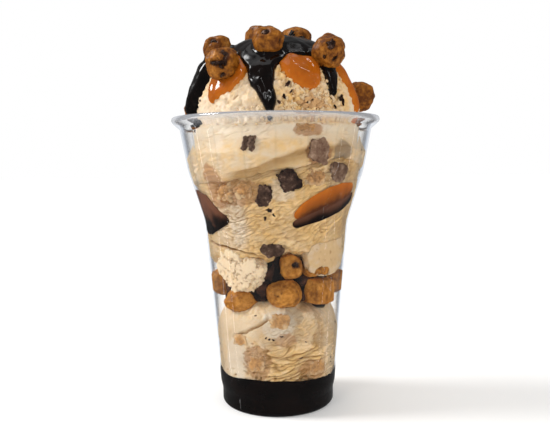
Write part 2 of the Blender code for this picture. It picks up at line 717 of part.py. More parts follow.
def make_fudge_top(name, grow=0.0):
    """Fudge poured over the dome: a cap with uneven edge and the tongues that run from it."""
    low = FUDGE_LIFT - grow
    high = FUDGE_THICKNESS + FUDGE_LIFT + grow
    reach = math.degrees(grow / DOME_RADIUS)
    under = []
    over = []
    for share in (0.28, 0.52, 0.76, 1.0):
        under.append([dome_point(a, (around(FUDGE_CAP, a) + reach) * share, low) for a in azimuths()])
    for share, lift in ((1.0, 0.45), (0.92, 0.9), (0.67, 1.0), (0.33, 1.0)):
        over.append([dome_point(a, (around(FUDGE_CAP, a) + reach) * share, low + (high - low) * lift)
                     for a in azimuths()])
    cap = turned(name, dome_point(0.0, 0.0, low), under + over, dome_point(0.0, 0.0, high), "hot_fudge")
    tongues = []
    for k, (tongue, thickness) in enumerate(zip(FUDGE_TONGUES, TONGUE_THICKNESSES)):
        body = tongue_solid("guide_" + name + "_%d" % k, dome_path(tongue), thickness, dome_flat,
                            "hot_fudge", grow=grow, base=FUDGE_LIFT + 0.1)
        tongues.append(body)
    fuse(cap, tongues)
    return cap


def build():
    clear_scene()
    make_cup()
    fudge_base = make_fudge_base()
    bottom = make_bottom_scoop()
    middle = make_middle_scoop()
    top = make_top_scoop()
    fudge_middle = make_fudge_middle()
    fudge_top = make_fudge_top("fudge_top")
    grown_fudge_top = as_guide(make_fudge_top("cutter_fudge_top", grow=CUTTER_GROWTH))

    ring_cutters = []
    for k, (azimuth, height, width, tall, square) in enumerate(RING_DOUGH, 1):
        ring_cutters.append(dough_in_cup("dough_ring_%d" % k, azimuth, height, width, tall, square, k)[1])
    upper_cutters = []
    for k, (azimuth, height, width, tall, square) in enumerate(UPPER_DOUGH, 1):
        upper_cutters.append(dough_in_cup("dough_upper_%d" % k, azimuth, height, width, tall, square,
                                          20 + k, stand_back=0.6)[1])
    band_cutters = []
    for k, (azimuth, height, width, tall, square) in enumerate(BAND_DOUGH, 1):
        band_cutters.append(flat_piece("dough_band_%d" % k, azimuth, height, width, tall, 0.0, 30 + k,
                                       "cookie_dough", squareness=square, sunk=2.2)[1])
    choc_cutters = []
    for k, (azimuth, height, width, tall, lean) in enumerate(CHOC_CHUNKS, 1):
        choc_cutters.append(flat_piece("choc_chunk_%d" % k, azimuth, height, width, tall, lean, 40 + k,
                                       "dark_chocolate")[1])
    bit_cutters = []
    for k, (azimuth, height, width, tall) in enumerate(INCLUSIONS, 1):
        bit_cutters.append(flat_piece("dough_bit_%d" % k, azimuth, height, width, tall, 0.0, 50 + k,
                                      "cookie_dough", squareness=0.4)[1])
    top_cutters = []
    for k, (azimuth, tilt, width, tall, square, seat) in enumerate(TOP_DOUGH, 1):
        top_cutters.append(dough_on_top("dough_top_%d" % k, azimuth, tilt, width, tall, square, seat,
                                        60 + k)[1])

    pocket_cutters = []
    for name, tongue, slot in (("caramel_pocket", CARAMEL_POCKET, "caramel_sauce"),
                               ("fudge_pocket_right", RIGHT_FUDGE_POCKET, "hot_fudge"),
                               ("fudge_pocket_left", LEFT_FUDGE_POCKET, "hot_fudge")):
        tongue_solid(name, wall_path(tongue), POCKET_DEPTH, wall_flat, slot)
        cutter = tongue_solid("cutter_" + name, wall_path(tongue), POCKET_DEPTH, wall_flat, slot,
                              grow=CUTTER_GROWTH)
        pocket_cutters.append(as_guide(cutter))

    lump_cutters = []
    for k, (name, azimuth, height, size, lean, square, taper) in enumerate(LUMPS):
        made, cutter = piece_with_cutter(
            name, centre=polar(azimuth, inside_wall(height) - size[1] / 2.0 + 1.2, height), size=size,
            turn=Euler((0.0, math.radians(lean), math.radians(azimuth))), squareness=square,
            seed=81 + k, slot="vanilla_ice_cream", cells=3, rough=0.25 - 0.2 * square, taper=taper)
        lump_cutters.append(cutter)
        cut(made, ring_cutters[:5] + upper_cutters)
        settle(made)

    for name, tongue in CARAMEL_TONGUES.items():
        sauce = tongue_solid(name, dome_path(tongue), CARAMEL_THICKNESS, dome_flat, "caramel_sauce",
                             base=FUDGE_LIFT)
        cut(sauce, [grown_fudge_top] + top_cutters)
        settle(sauce)
    settle(fudge_top)
    cut(fudge_top, top_cutters)
    settle(fudge_top)
    cut(bottom, ring_cutters + bit_cutters[1:])
    settle(bottom)
    cut(fudge_middle, ring_cutters + upper_cutters + lump_cutters)
    settle(fudge_middle)
    cut(middle, upper_cutters + lump_cutters + pocket_cutters + band_cutters + choc_cutters + ring_cutters)
    settle(middle)
    cut(top, band_cutters + choc_cutters + bit_cutters[:1] + top_cutters)
    settle(top)


build()
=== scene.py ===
"""Looks of the ice cream sundae in its clear cup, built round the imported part.

Sizes are in millimetres and azimuths in degrees, as in the part's source: 0 faces the front
(-Y) and positive turns towards +X. Meshes are written in metres.
"""
import math
from functools import partial
from itertools import product

import bmesh
import bpy
import numpy as np
from mathutils import Matrix, Vector, noise


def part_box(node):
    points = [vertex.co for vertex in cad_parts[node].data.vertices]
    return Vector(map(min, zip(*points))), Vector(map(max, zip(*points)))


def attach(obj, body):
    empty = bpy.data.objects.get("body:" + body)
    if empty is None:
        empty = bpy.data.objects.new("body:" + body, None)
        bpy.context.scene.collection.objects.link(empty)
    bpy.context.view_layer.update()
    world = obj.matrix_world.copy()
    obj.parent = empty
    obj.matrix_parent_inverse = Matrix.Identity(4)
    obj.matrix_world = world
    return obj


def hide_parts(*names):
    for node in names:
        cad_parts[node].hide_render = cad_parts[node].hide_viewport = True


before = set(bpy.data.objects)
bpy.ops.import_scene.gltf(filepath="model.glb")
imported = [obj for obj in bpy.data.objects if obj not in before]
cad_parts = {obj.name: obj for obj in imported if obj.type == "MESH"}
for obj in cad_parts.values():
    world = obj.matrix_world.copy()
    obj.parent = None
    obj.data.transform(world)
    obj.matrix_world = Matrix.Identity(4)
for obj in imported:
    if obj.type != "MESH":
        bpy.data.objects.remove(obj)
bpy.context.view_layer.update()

MM = 0.001
COLUMNS = 480              # points round each body of ice cream
ROW_STEP = 0.32            # height of its rows

# the cup, as in the part's source
CUP_THICKNESS = 0.7
FOOT_RADIUS = 26.9
FOOT_HEIGHT = 7
RIM_RADIUS = 49.1
RIM_HEIGHT = 136.8
FLOOR_PUSH_UP = 3.5
REST_RING = (19.5, 25.6)
WALL_KNOTS = ((11, 27.8), (88.2, 34.2), (112, 41.6), (131.5, 45.2))
WALL_ROUNDING = 2.4        # half the height over which the wall's bends are eased

# the levels of the food, as in the part's source
FUDGE_LEVEL = 15.8
FUDGE_TILT = 1.6
BOTTOM_SCOOP_CROWN = 59
MIDDLE_SCOOP_KEEL = 63.5
TOP_SCOOP_KEEL = 112
DOME_CENTRE = np.array((1, 0, 134))
DOME_RADIUS = 38.3
BOTTOM_SHOULDER = ((-100, 38), (-60, 40), (-35, 44), (0, 46), (30, 45), (60, 37), (110, 41), (170, 43))
MIDDLE_KEEL_EDGE = ((-100, 68), (-60, 73), (-30, 73), (-10, 75), (5, 79), (22, 76), (50, 74),
                    (70, 72), (105, 66), (140, 70), (180, 67), (-140, 71))
SKIRT_EDGE = ((-90, 104), (-60, 107), (-40, 107.5), (-28, 109), (4, 113), (24, 115.5), (46, 118),
              (70, 115), (110, 108), (150, 104), (180, 107), (-130, 110))
SKIRT_RECESS = ((-90, 1.5), (-50, 1.5), (-35, 3.5), (0, 3.8), (35, 3.5), (55, 1.5), (110, 2.5),
                (160, 3.5), (-150, 2))
TOP_CONTACT = ((-90, 116), (-50, 119), (0, 117.5), (40, 121.5), (80, 119), (120, 116), (180, 117),
               (-130, 116))
FUDGE_CAP = ((-180, 46), (-150, 40), (-120, 44), (-95, 42), (-70, 41), (-40, 44), (-22, 56),
             (0, 53), (12, 45), (28, 46), (44, 50), (62, 46), (90, 40), (120, 45), (150, 42))
FUDGE_TONGUES = (
    ((-14, 40, 8), (-12, 58, 7.5), (-9, 69, 5.6), (-6, 77, 4.6), (-5, 83, 3.2)),
    ((-80, 38, 6.5), (-80, 50, 6.8), (-81, 63, 6.4), (-82, 73, 5.4), (-83, 80, 4.2)),
    ((46, 38, 6), (45, 54, 4.6), (42, 66, 3), (40.5, 72, 2.2)),
    ((118, 34, 7), (116, 52, 5), (114, 66, 3.4), (114, 75, 2.6)),
    ((168, 36, 8), (166, 54, 5.6), (163, 66, 4), (161, 76, 2.8)),
)
CARAMEL_TONGUES = {
    "caramel_top_left": ((-44, 42, 9), (-42, 54, 12), (-48, 64, 8.6), (-51, 71, 4.4),
                         (-51, 74.5, 2.6)),
    "caramel_top_centre": ((18, 40, 10), (19, 53, 10.3), (23, 60, 7.6), (26, 64.5, 3.6)),
    "caramel_top_right": ((62, 40, 6), (64, 56, 4.8), (66, 68, 4.2), (67, 80, 3.8)),
    "caramel_top_back": ((-168, 38, 8), (-166, 52, 9), (-172, 62, 6.5), (-175, 72, 3)),
}

# how far each kind of food reaches into the wall where it is pressed against it
REACH_ICE = 0.08
REACH_LUMP = 0.16
REACH_PIECE = 0.22
REACH_SAUCE = 0.28

RNG = np.random.default_rng(20)
HASH = RNG.permutation(256)
GRADIENTS = RNG.normal(size=(256, 3))
GRADIENTS /= np.linalg.norm(GRADIENTS, axis=1)[:, None]


# noise and shaping

def lattice(points):
    """Gradient noise, about -1 to 1, at an array of points."""
    cell = np.floor(points).astype(int)
    part = points - cell
    fade = part ** 3 * (part * (part * 6 - 15) + 10)
    total = np.zeros(points.shape[:-1])
    for corner in product((0, 1), repeat=3):
        at = cell + np.array(corner)
        key = HASH[at[..., 0] & 255]
        key = HASH[(key + at[..., 1]) & 255]
        key = HASH[(key + at[..., 2]) & 255]
        slope = ((part - np.array(corner)) * GRADIENTS[key]).sum(-1)
        weight = np.prod(np.where(np.array(corner) > 0, fade, 1 - fade), axis=-1)
        total += weight * slope
    return total * 1.6


def layered(spot, octaves, finer, shift, fade, folded=False):
    """Noise added up over octaves, each finer and weaker than the last, and folded at 0 if asked."""
    total = 0
    for k in range(octaves):
        value = lattice(spot)
        total = total + fade ** k * (np.abs(value) if folded else value)
        spot = spot * finer + shift
    return total


def cloud(points, size, octaves, seed):
    """Noise whose largest lumps have the size given in millimetres."""
    return layered(points / size + seed * 17.31, octaves, 2.03, 5.7, 0.5)


def billow(points, size, seed, octaves=2):
    """Rounded lumps, from 0 in the creases between them to about 1 on top."""
    return np.clip(1.5 * layered(points / size + seed * 9.17, octaves, 2.1, 3.3, 0.45, True), 0, 1.6)


def soft(value, low, high):
    """0 below low, 1 above high, and smooth between."""
    t = np.clip((value - low) / (high - low), 0, 1)
    return t * t * (3 - 2 * t)


def turned_by(azimuth, centre):
    """Difference between azimuths, from -180 to 180 degrees."""
    return (azimuth - centre + 180) % 360 - 180


def zone(azimuth, height, centre, middle, wide, tall):
    """1 in the middle of an oval patch of the wall, falling smoothly to 0 at its edge."""
    away = np.hypot(turned_by(azimuth, centre) / wide, (height - middle) / tall)
    return 1 - soft(away, 0.55, 1)


def ragged(points, field, size, seed, low=0.35, high=0.6):
    """A patch from 0 to 1 whose edge is broken up by noise."""
    return soft(field + 0.45 * cloud(points, size, 3, seed), low, high) * (field > 0)


def around(knots, azimuth):
    """A smooth closed curve through (azimuth, value) knots, as in the part's source."""
    ordered = sorted((a % 360, float(value)) for a, value in knots)
    (first, low), (last, high) = ordered[0], ordered[-1]
    places, values = np.array([(last - 360, high), *ordered, (first + 360, low)]).T
    place = np.asarray(azimuth) % 360
    at = np.clip(np.searchsorted(places, place) - 1, 0, len(places) - 2)
    share = (place - places[at]) / (places[at + 1] - places[at])
    share = (1 - np.cos(math.pi * share)) / 2
    return values[at] + (values[at + 1] - values[at]) * share


def polar(azimuth, radius, height):
    angle = np.radians(azimuth)
    radius, height, angle = np.broadcast_arrays(radius, height, angle)
    return np.stack((radius * np.sin(angle), -radius * np.cos(angle), height), axis=-1)


def azimuth_of(points):
    return np.degrees(np.arctan2(points[..., 0], -points[..., 1]))


def wall(height):
    """Inner radius of the cup's wall."""
    knots = ((0, FOOT_RADIUS), (FOOT_HEIGHT, FOOT_RADIUS)) + WALL_KNOTS + ((RIM_HEIGHT, 46.1),)
    z, r = np.array(knots).T
    height = np.asarray(height, dtype=float)
    eased = sum(np.interp(height + s * WALL_ROUNDING, z, r) for s in (-1, -0.5, 0, 0.5, 1)) / 5
    bent = height > WALL_KNOTS[0][0] + WALL_ROUNDING
    return np.where(bent, eased, np.interp(height, z, r)) - CUP_THICKNESS


def scaled_round_axis(points, scale):
    return points * np.stack((scale, scale, np.ones_like(scale)), axis=-1)


def held_in(points, reach):
    """Points moved in where they would pass further than reach into the cup's wall."""
    out = np.hypot(points[..., 0], points[..., 1])
    limit = np.where(points[..., 2] < RIM_HEIGHT, wall(points[..., 2]) + reach, 1e6)
    return scaled_round_axis(points, np.minimum(1, limit / np.maximum(out, 1e-6)))


def pressed_out(points, reach, within):
    """Points closer than within to the cup's wall moved out until they lie flat against it."""
    out = np.hypot(points[..., 0], points[..., 1])
    away = wall(points[..., 2]) - out
    moved = -reach + np.maximum(0, away - within) * (3 * within + reach) / (2 * within)
    moved = np.where(away < 3 * within, moved, away)
    return scaled_round_axis(points, (wall(points[..., 2]) - moved) / np.maximum(out, 1e-6))


# meshes

def added(name, data):
    """A new object in the scene."""
    made = bpy.data.objects.new(name, data)
    bpy.context.collection.objects.link(made)
    return made


def put(name, points, faces, skin, **tints):
    """A smooth-shaded object from points in millimetres, with one value a point for each tint."""
    mesh = bpy.data.meshes.new(name)
    mesh.from_pydata((np.asarray(points) * MM).tolist(), [], faces)
    mesh.update()
    for tint, values in tints.items():
        layer = mesh.attributes.new(tint, 'FLOAT', 'POINT')
        layer.data.foreach_set("value", np.asarray(values, dtype=np.float32).ravel())
    mesh.shade_smooth()
    mesh.materials.append(skin)
    return added(name, mesh)


def belong(body, node=None):
    """Fixes a piece to the part, in the place of a node if one is named."""
    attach(body, "root")
    if node is not None:
        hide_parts(node)
    return body


def grid_faces(rows, columns):
    """Quads of a grid of points that is closed round its columns."""
    i, j = np.meshgrid(np.arange(rows - 1), np.arange(columns), indexing="ij")
    here, beside = i * columns + j, i * columns + (j + 1) % columns
    return np.stack((here, beside, beside + columns, here + columns), axis=-1).reshape(-1, 4).tolist()


def turned(name, rows, low, high, skin, **tints):
    """A closed body from rows of points round the axis and its two poles."""
    count, columns = rows.shape[:2]
    points = np.concatenate((rows.reshape(-1, 3), [low, high]))
    faces = grid_faces(count, columns)
    bottom, top = count * columns, count * columns + 1
    last = (count - 1) * columns
    for j in range(columns):
        k = (j + 1) % columns
        faces.append((bottom, k, j))
        faces.append((top, last + j, last + k))
    ends = {tint: np.concatenate((np.asarray(v).ravel(), [0, 0])) for tint, v in tints.items()}
    return put(name, points, faces, skin, **ends)


def curved(a, b, c, d, t):
    """A place on the Catmull-Rom curve from b to c."""
    return 0.5 * (2 * b + (c - a) * t + (2 * a - 5 * b + 4 * c - d) * t * t
                  + (3 * b - a - 3 * c + d) * t ** 3)


def lofted(controls, counts):
    """Points on smooth curves through control rows of (radius, height), with counts[i] rows a span."""
    controls = [np.stack([np.broadcast_to(np.asarray(v, dtype=float), COLUMNS) for v in pair])
                for pair in controls]
    ends = [controls[0]] + controls + [controls[-1]]
    rows = []
    for i, count in enumerate(counts):
        rows += [curved(*ends[i:i + 4], k / count) for k in range(count)]
    found = np.array(rows + [controls[-1]])
    return polar(COLUMN_AZIMUTHS[None, :], found[:, 0], found[:, 1])


def normals_of(rows):
    """Outward normals of a grid that wraps round its columns."""
    along = np.gradient(rows, axis=0)
    across = np.roll(rows, -1, axis=1) - np.roll(rows, 1, axis=1)
    found = np.cross(across, along)
    return found / np.maximum(np.linalg.norm(found, axis=-1, keepdims=True), 1e-9)


COLUMN_AZIMUTHS = np.arange(COLUMNS) * 360 / COLUMNS


def relief(azimuth, height, seed, size=12, step=8):
    """The part's own uneven ground round the cup, from -1 to 1, worked out on a coarse grid."""
    shift = Vector((seed * 7.3, seed * 3.1, seed * 5.7))
    count, across = height.shape
    rows = sorted({*range(0, count, step), count - 1})
    spots = polar(azimuth, 30, height)[rows, ::step] / size
    found = np.array([[noise.noise(Vector(spot) + shift) for spot in line] for line in spots])
    found = np.hstack((found, found[:, :1]))
    wide = np.array([np.interp(np.arange(across), np.arange(0, across + 1, step), line) for line in found])
    return np.array([np.interp(np.arange(count), rows, line) for line in wide.T]).T


def wrinkles(points, size, pitch, slope, seed, warp=0.6, width=0.22):
    """Thin wavering grooves round the cup, 1 at their deepest and below 0 on the ridges beside."""
    arc = 30 * np.sin(np.radians(azimuth_of(points)))
    bend = warp * cloud(points, 8, 2, seed + 3)
    spot = np.stack((points[..., 0] / size, points[..., 1] / size,
                     (points[..., 2] - slope * arc) / pitch + bend), axis=-1)
    value = lattice(spot + seed * 3.7)
    return np.clip(1 - np.abs(value) / width, 0, 1) ** 0.8 - 0.45 * soft(value, width, 3 * width)


def pits(points, size, level, seed):
    """Small separate holes, from 0 to 1 in their depth."""
    return soft(lattice(points / size + seed * 5.1), level, level + 0.25)


# ice cream

class Face:
    """The rows of a body of ice cream, with what is worked out on them by azimuth and height."""

    def __init__(self, rows):
        self.rows = rows
        self.tall = rows[..., 2]
        self.azimuth = np.broadcast_to(COLUMN_AZIMUTHS, self.tall.shape)
        self.turn = turned_by(self.azimuth, 0)
        self.zone = partial(zone, self.azimuth, self.tall)
        self.cloud, self.billow, self.wrinkles, self.pits = (
            partial(made, rows) for made in (cloud, billow, wrinkles, pits))

    def patches(self, *patches):
        """Ragged patches added up: each one's strength, zone, size of the raggedness, seed and limits."""
        return sum(strength * ragged(self.rows, self.zone(*place), *edge)
                   for strength, place, *edge in patches)

    def near(self, centre, inner, outer):
        """1 within the inner angle of an azimuth, 0 beyond the outer one."""
        return 1 - soft(np.abs(turned_by(self.azimuth, centre)), inner, outer)

    def line(self, azimuths, heights):
        """Height of a line across the front through the places given."""
        return np.interp(self.turn, azimuths, heights)

    def hollows(self, seed):
        """The part's own hollows, which the pressed face keeps."""
        return soft(relief(self.azimuth, self.tall, seed), 0.15, 0.6)


def fudge_level(azimuth):
    level = FUDGE_LEVEL + FUDGE_TILT * np.cos(np.radians(azimuth + 25))
    ripple = cloud(polar(azimuth, 26, 0), 7, 2, 4)
    creep = 1.6 * np.exp(-(turned_by(azimuth, -76) / 9) ** 2)
    return level + 0.55 * ripple + creep


def finish_body(name, node, face, height, groove, stains, skin, low, high):
    """Moves a body's rows out by its relief, presses it to the wall and puts it in the node's place.

    Grooves go in after the pressing, so they mark the pressed face too.
    """
    normals = normals_of(face.rows)
    moved = held_in(face.rows + normals * height[..., None], REACH_ICE)
    moved = held_in(moved - normals * (groove + 0.12)[..., None], REACH_ICE)
    # dip paints the colour darker in the hollows and grooves as painted shade. Where it falls below 0, on
    # the ridges beside the grooves, it paints them paler as a painted highlight.
    dip = np.clip(-0.35 * height, 0, 0.5) + 0.8 * groove
    return belong(turned(name, moved, low, high, skin, dip=dip, **stains), node)


def make_bottom_scoop(skin):
    az = COLUMN_AZIMUTHS
    level = fudge_level(az)
    shoulder = around(BOTTOM_SHOULDER, az) + 1.2 * cloud(polar(az, 30, 40), 9, 2, 6)
    edge = shoulder + 5
    face = Face(lofted([
        (8, level - 4),
        (wall(level - 2) - 2.5, level - 2.5),
        (wall(level) + 0.5, level),
        (wall(level + 8) + 0.5, level + 8),
        (wall(shoulder - 6) + 0.5, shoulder - 6),
        (wall(shoulder) - 0.3, shoulder),
        (27.6, edge),
        (24, BOTTOM_SCOOP_CROWN - (BOTTOM_SCOOP_CROWN - edge) * 0.70),
        (13, BOTTOM_SCOOP_CROWN - 1),
        (4, BOTTOM_SCOOP_CROWN),
    ], (2, 6, int(8 / ROW_STEP), int(22 / ROW_STEP), 20, 18, 10, 6, 4)))
    right = np.clip(face.zone(30, 28, 58, 26) + face.zone(-150, 30, 90, 24), 0, 1)
    low_arcs = face.zone(16, 25, 40, 13)
    chew = face.patches((1, (-19, 26, 17, 11), 2, 41))
    above = face.tall - face.line((-44, -30, -20, -8), (36, 38.5, 41, 46)) - 0.8 * face.cloud(4, 2, 49)
    ridge = soft(face.turn, -48, -36) * (1 - soft(face.turn, -10, -4))
    groove = ((0.06 + 0.34 * right) * face.wrinkles(3.6, 1.5, 0.30, 2)
              + 0.75 * low_arcs * face.wrinkles(11, 2.4, 0.22, 9, 0.7, 0.2)
              + 0.7 * face.pits(1.7, 0.36, 1) * (1 - soft(face.tall - level, 1, 7))
              + 0.5 * chew * face.billow(1.6, 8)
              + 0.9 * ridge * soft(above, -0.2, 0.4) * (1 - soft(above, 0.5, 2.4)))
    height = (0.45 * face.cloud(13, 2, 1) - 1.3 * face.hollows(3) + 0.08 * face.cloud(1.6, 2, 5)
              + 0.5 * face.billow(3, 2) * soft(face.tall, 42, 48) - 0.35)
    stains = {
        "tone": 0.94 - 0.14 * right + 0.18 * face.cloud(9, 2, 21) - 0.24 * low_arcs,
        # this pale tint marks a painted highlight low on the left, and a paler patch at the front below the
        # shoulder
        "frost": np.clip(face.patches((0.65, (-42, 26, 17, 14), 5, 43, 0.1, 1.1),
                                      (0.8, (1, 44, 19, 8.5), 3, 44, 0.1, 0.9)), 0, 1),
        "rust": 0.55 * chew + face.patches((0.5, (7, 36.5, 12, 4), 2, 45), (0.6, (36, 21, 20, 7), 2, 46)),
        "grey": face.patches((0.6, (14, 47.5, 12, 6), 2.4, 47), (0.35, (14, 39, 12, 5), 2.4, 48)),
    }
    return finish_body("ice_cream_bottom", "scoop_bottom", face, height, groove, stains, skin,
                       (0, 0, FUDGE_LEVEL - 5), (0, 0, BOTTOM_SCOOP_CROWN))


def make_middle_scoop(skin):
    az = COLUMN_AZIMUTHS
    keel = around(MIDDLE_KEEL_EDGE, az) + 1.3 * cloud(polar(az, 30, 70), 7, 2, 2)
    seam = around(SKIRT_EDGE, az) + 0.6
    recess = around(SKIRT_RECESS, az)
    face = Face(lofted([
        (6, MIDDLE_SCOOP_KEEL + 0.5),
        (17, MIDDLE_SCOOP_KEEL + (keel - MIDDLE_SCOOP_KEEL) * 0.4),
        (wall(keel) - 3.2, keel - 1.2),
        (wall(keel + 2.5) - 0.2, keel + 2),
        (wall(keel + 9) + 0.5, keel + 9),
        (wall(seam - 14) + 0.5, seam - 14),
        (wall(seam - 6) - 0.30 * recess, seam - 6),
        (wall(seam) - recess, seam),
        (wall(seam) - recess - 6, seam + 1.5),
        (16, TOP_SCOOP_KEEL - 2),
        (5, TOP_SCOOP_KEEL - 3),
    ], (3, 8, 14, 22, 70, 28, 22, 8, 4, 3)))
    bend = 2.2 * face.cloud(16, 1, 33) - 0.0012 * turned_by(face.azimuth, 20) ** 2
    swept = face.rows + np.stack((0 * bend, 0 * bend, bend), axis=-1)
    side = 1 - face.near(8, 46, 70)
    crease_line = face.line((-72, -52, -38, -22, -8), (79.5, 78.2, 77.4, 76, 73.5))
    crease = 1 - soft(np.abs(face.tall - crease_line - 0.5 * face.cloud(4, 2, 58)), 0.15, 0.75)
    crease = crease * soft(face.turn, -76, -66) * (1 - soft(face.turn, -12, -6))
    mouth = face.patches((1, (-26, 103, 26, 7.5), 2.4, 51))
    groove = 0.5 * wrinkles(swept, 4.6, 1.7, 0.52, 1, 0.4) + 0.3 * wrinkles(swept, 3, 1.3, 0.30, 12, 0.4)
    groove = groove * (1 - 0.5 * side) * (0.85 + 0.35 * face.cloud(10, 2, 17))
    groove = groove + 1.1 * crease + 0.4 * mouth * face.billow(2, 8)
    height = (0.4 * face.cloud(14, 2, 8) - 1.1 * face.hollows(5) + 0.08 * face.cloud(1.5, 2, 7)
              + 0.6 * face.billow(3, 6) * (1 - soft(face.tall - keel, 0, 5)) - 0.3)
    stains = {
        "tone": 0.56 + 0.18 * face.cloud(11, 2, 23) + 0.15 * side + 0.40 * face.zone(-36, 88, 20, 18),
        "rust": 0.6 * mouth + face.patches((0.7, (-44, 104, 12, 12), 3, 57, 0.2, 0.9)),
        # grey: a greyer patch on the right, and painted shade in a band along the top scoop's skirt edge at
        # the front, under its overhang
        "grey": (face.patches((0.5, (44, 109, 16, 8), 3, 53))
                 + 0.45 * zone(face.azimuth, seam - face.tall, 0, 0, 60, 4)),
        "frost": face.patches((0.5, (4, 104, 12, 7), 1.8, 55, 0.3, 0.9)) + 0.5 * face.zone(-30, 92, 9, 16),
    }
    return finish_body("ice_cream_middle", "scoop_middle", face, height, groove, stains, skin,
                       (0, 0, MIDDLE_SCOOP_KEEL + 0.5), (0, 0, TOP_SCOOP_KEEL - 3))


def dome_bump(direction):
    """The part's own bumps on the dome, from its noise, on any array of directions."""
    flat = direction.reshape(-1, 3)
    found = np.array([noise.noise(Vector(d) * 2 + Vector((4, 9, 2))) for d in flat])
    return 0.9 * found.reshape(direction.shape[:-1])


def dome_directions(azimuth, tilt):
    angle = np.radians(tilt)
    return polar(azimuth, np.sin(angle), np.cos(angle))


BUMP_AZIMUTHS = np.arange(0, 361, 6)
BUMP_TILTS = np.arange(0, 121, 4)
BUMPS = dome_bump(dome_directions(BUMP_AZIMUTHS[:, None], BUMP_TILTS[None, :]))


def dome_point(azimuth, tilt, lift=0):
    """Points on the top scoop's dome, or that far above it."""
    azimuth, tilt, lift = np.broadcast_arrays(azimuth, tilt, lift)
    u = (azimuth % 360) / 6
    v = np.clip(tilt, 0, 119.9) / 4
    i, j = u.astype(int), v.astype(int)
    fu, fv = u - i, v - j
    i2 = np.minimum(i + 1, len(BUMP_AZIMUTHS) - 1)
    bump = (BUMPS[i, j] * (1 - fu) * (1 - fv) + BUMPS[i2, j] * fu * (1 - fv)
            + BUMPS[i, j + 1] * (1 - fu) * fv + BUMPS[i2, j + 1] * fu * fv)
    return DOME_CENTRE + dome_directions(azimuth, tilt) * (DOME_RADIUS + bump + lift)[..., None]


def make_top_scoop(skin):
    az = COLUMN_AZIMUTHS
    seam = around(SKIRT_EDGE, az) + 0.35 * cloud(polar(az, 40, 110), 5, 2, 3)
    contact = around(TOP_CONTACT, az)
    belly = dome_point(az, 92)
    belly_r = np.hypot(belly[:, 0], belly[:, 1])
    mid = (contact + belly[:, 2]) / 2
    low_r = wall(contact) + 0.3
    skirt = lofted([
        (10, TOP_SCOOP_KEEL),
        (wall(seam) - 9, seam - 1),
        (wall(seam) - 2.6, seam - 0.6),
        (wall(seam + 1.6) - 0.1, seam + 1.4),
        (wall(contact - 1) + 0.4, (seam + contact) / 2 + 1.5),
        (low_r, contact + 1),
        (belly_r + (low_r - belly_r) * 0.42, mid - 1),
        (belly_r + (low_r - belly_r) * 0.06, belly[:, 2] - 3.5),
    ], (3, 8, 10, 12, 10, 14, 16))
    face = Face(np.concatenate((skirt, dome_point(az[None, :], np.linspace(94, 3, 118)[:, None]))))
    tall = face.tall
    out = face.rows - DOME_CENTRE
    tilt = np.degrees(np.arccos(np.clip(out[..., 2] / np.linalg.norm(out, axis=-1), -1, 1)))
    open_air = soft(tall, 131, 136)
    calm = 1 - open_air
    crumbly = np.clip(face.near(27, 24, 34) * soft(tilt, 50, 60) + face.near(165, 50, 75), 0, 1) * open_air
    crag = (1.5 * (face.billow(3.2, 3, 3) - 0.55) + 0.6 * (face.billow(1.5, 4) - 0.5)) * crumbly
    torn = 0.9 * (face.billow(3.4, 5, 3) - 0.5) + 0.5 * face.cloud(5, 3, 6)
    under = face.line((-40, -12, 0, 12.5, 24, 40), (110, 113.8, 118, 121.6, 123.5, 124)) - tall
    front = face.near(8, 30, 45)
    fold = soft(under, -0.3, 0.9) * (1 - soft(under, 2, 6)) * front
    # shade is painted shade: the band under the skirt's fold at the front, which lowers the tone and greys
    # the colour there
    shade = soft(under, 0, 1.6) * (1 - soft(under, 5, 9)) * front
    mauve = face.patches((1, (25.8, 119.8, 11, 7), 2, 61))
    brown = face.patches((1, (21, 130.2, 13, 4.6), 1.8, 62))
    pressed = np.clip(1.6 * face.zone(44.5, 119.5, 9, 7), 0, 1)
    groove = face.wrinkles(7, 1.7, 0.28, 5, 0.6, 0.16) * calm * soft(face.cloud(12, 2, 18), -0.4, 0.4)
    groove = 0.30 * groove + 0.35 * face.pits(1.4, 0.40, 6) * open_air
    groove = groove * (1 - pressed) + 0.6 * mauve * face.billow(1.8, 8) + 0.3 * brown * face.billow(1.6, 9)
    height = (0.45 * face.cloud(14, 2, 12) + crag + torn * open_air * (1 - crumbly) - 1.3 * fold
              + 0.10 * face.cloud(1.5, 2, 15))
    # Paler near the rim: frost on the cream against the wall, and painted light that lifts the cream where
    # the rim's shade darkens it. The dome's foot just above the rim is paler too.
    rim_frost_and_light = calm * soft(tall, 121, 132) * (0.75 + 0.3 * face.cloud(7, 2, 28))
    stains = {
        "tone": (0.88 - 0.22 * crumbly + 0.26 * face.cloud(6, 3, 25) - 0.42 * shade
                 - 0.2 * face.zone(25, 127, 40, 12)),
        "frost": rim_frost_and_light + 0.5 * open_air * (1 - crumbly) * soft(tall, 150, 136),
        "rust": 0.75 * mauve + 0.7 * brown + face.patches((0.7, (-45, 109, 9, 8), 2.4, 63, 0.2, 0.8)),
        "grey": 0.9 * pressed + 0.55 * mauve + 0.42 * shade,
    }
    return finish_body("ice_cream_top", "scoop_top", face, height, groove, stains, skin,
                       (0, 0, TOP_SCOOP_KEEL), tuple(dome_point(0, 0)))


# sauces on the dome

SHEET_STEP = 0.45          # pitch of the grid on the flat sheet that is laid over the dome
SHEET_REACH = 64           # half its side
SHEET_SINK = 0.45          # how far a sauce's edge lies below its face
DRIP_RISE = 3.6            # how much thicker than the others the fudge's drip on the left is
SEAT_RADIUS = 5.4          # where the fudge creeps up a ball of dough that stands in it
SEAT_RISE = 1.5            # and by how much


